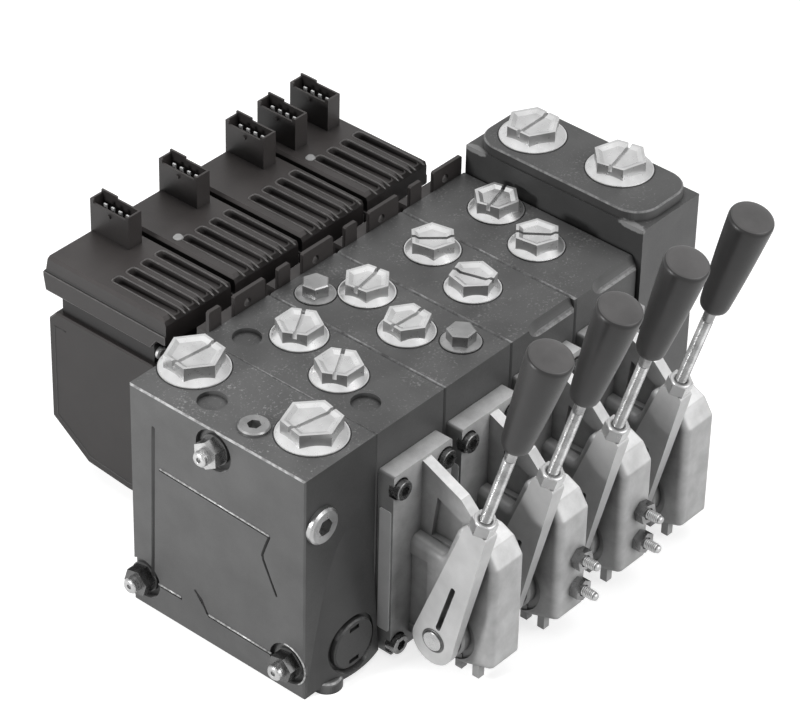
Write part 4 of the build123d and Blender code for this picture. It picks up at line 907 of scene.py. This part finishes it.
def plate_shape(x_range):
    """A thin upright plate with clipped corners, facing along X."""
    low_y, high_y = PLATE_Y
    low_z, high_z = PLATE_Z
    corner = PLATE_CORNER
    return slab(x_range, [(low_y + corner, low_z), (high_y - corner, low_z), (high_y, low_z + corner),
                          (high_y, high_z - corner), (high_y - corner, high_z), (low_y + corner, high_z),
                          (low_y, high_z - corner), (low_y, low_z + corner)])


for n in range(1, SECTIONS + 1):
    x = section_centre(n) + PLATE_X
    shape = plate_shape((x - PLATE_PROUD, x + PLATE_SUNK))
    make_object(f"housing_plate_{n}", shape, plate_alloy, "stack", smooth=False)
    place = turned_place(section_centre(n) + ARM_FACE_X, LEVER_FACE - PIVOT_OUT, PIVOT_HEIGHT, -90, "Y")
    shape = placed(turned_ring(PIVOT_RING, steps=48), place)
    make_object(f"pivot_ring_{n}", shape, dark_steel_and_shade, f"lever_{n}")


# Floor, light and camera

def seen_directly(tree):
    """One for camera, glossy and transmission rays, and zero for the rays that only carry light."""
    path = tree.nodes.new("ShaderNodeLightPath")
    seen = path.outputs["Is Camera Ray"]
    for key in ("Is Glossy Ray", "Is Transmission Ray"):
        seen = math_node(tree, "MAXIMUM", seen, path.outputs[key])
    return seen


def add_floor():
    """A wide floor just under the feet: white where it is seen, and a weak reflector of light."""
    half = 6.0
    gap = 0.0002
    unseen_tone = grey(0.25)
    seen_tone = grey(0.6)
    glow = 0.7
    mesh = bpy.data.meshes.new("floor")
    mesh.from_pydata([(-half, -half, 0), (half, -half, 0), (half, half, 0), (-half, half, 0)], [],
                     [(0, 1, 2, 3)])
    floor = bpy.data.objects.new("floor", mesh)
    floor.location.z = min(cad_low[2], 0.0) - gap
    bpy.context.scene.collection.objects.link(floor)
    mat, tree, shader = new_material("floor_white")
    shader.inputs["Roughness"].default_value = 0.9
    shader.inputs["Specular IOR Level"].default_value = 0.1
    seen = seen_directly(tree)
    tree.links.new(mix_color(tree, seen, unseen_tone, seen_tone), shader.inputs["Base Color"])
    shader.inputs["Emission Color"].default_value = grey(1.0)
    tree.links.new(math_node(tree, "MULTIPLY", seen, glow), shader.inputs["Emission Strength"])
    mesh.materials.append(mat)


def add_world():
    """Even light from all round, with plain white where the world itself is seen."""
    light_strength = 0.15
    world = bpy.data.worlds.new("studio")
    bpy.context.scene.world = world
    world.use_nodes = True
    tree = world.node_tree
    light = tree.nodes["Background"]
    white = tree.nodes.new("ShaderNodeBackground")
    for background, strength in ((light, light_strength), (white, 1.0)):
        background.inputs["Color"].default_value = grey(1.0)
        background.inputs["Strength"].default_value = strength
    mix = tree.nodes.new("ShaderNodeMixShader")
    tree.links.new(seen_directly(tree), mix.inputs[0])
    tree.links.new(light.outputs[0], mix.inputs[1])
    tree.links.new(white.outputs[0], mix.inputs[2])
    tree.links.new(mix.outputs[0], tree.nodes["World Output"].inputs["Surface"])


def add_sun(name, direction, strength, angle, glossy=True):
    """A soft lamp that shines from the given direction."""
    lamp = bpy.data.lights.new(name, "SUN")
    lamp.energy = strength
    lamp.angle = angle
    obj = bpy.data.objects.new(name, lamp)
    obj.rotation_euler = Vector(direction).to_track_quat("Z", "Y").to_euler()
    obj.visible_glossy = glossy
    bpy.context.scene.collection.objects.link(obj)


def add_key(target, direction, distance, power, size):
    """A square soft lamp near the inlet block, so that its light fades towards the far end."""
    lamp = bpy.data.lights.new("key", "AREA")
    lamp.energy = power
    lamp.size = size
    obj = bpy.data.objects.new("key", lamp)
    toward = Vector(direction).normalized()
    obj.location = Vector(target) + distance * toward
    obj.rotation_euler = toward.to_track_quat("Z", "Y").to_euler()
    bpy.context.scene.collection.objects.link(obj)


def add_camera():
    level = math.cos(CAMERA_ELEVATION)
    back = Vector((math.sin(CAMERA_AZIMUTH) * level, -math.cos(CAMERA_AZIMUTH) * level,
                   math.sin(CAMERA_ELEVATION)))
    right = Vector(UPWARD).cross(back).normalized()
    up = back.cross(right)
    right, up = (math.cos(CAMERA_ROLL) * right + math.sin(CAMERA_ROLL) * up,
                 -math.sin(CAMERA_ROLL) * right + math.cos(CAMERA_ROLL) * up)
    data = bpy.data.cameras.new("camera")
    data.sensor_width = SENSOR_WIDTH
    data.lens = FOCAL_PIXELS * SENSOR_WIDTH / PHOTO_WIDTH
    data.clip_end = 50.0
    camera = bpy.data.objects.new("camera", data)
    matrix = Matrix((right, up, back)).transposed().to_4x4()
    matrix.translation = Vector(CAMERA_PLACE) * MM
    camera.matrix_world = matrix
    bpy.context.scene.collection.objects.link(camera)
    bpy.context.scene.camera = camera


add_floor()
add_world()
add_key(target=(-0.14, 0.0, 0.08), direction=(-0.87, 0.28, 0.38), distance=0.62, power=3.7, size=0.14)
add_sun("top", direction=(0.15, 0.1, 1.0), strength=1.45, angle=1.2, glossy=False)
add_sun("fill", direction=(0.3, -0.9, 0.4), strength=1.75, angle=0.9)
add_camera()
bpy.context.scene.view_settings.view_transform = "Standard"
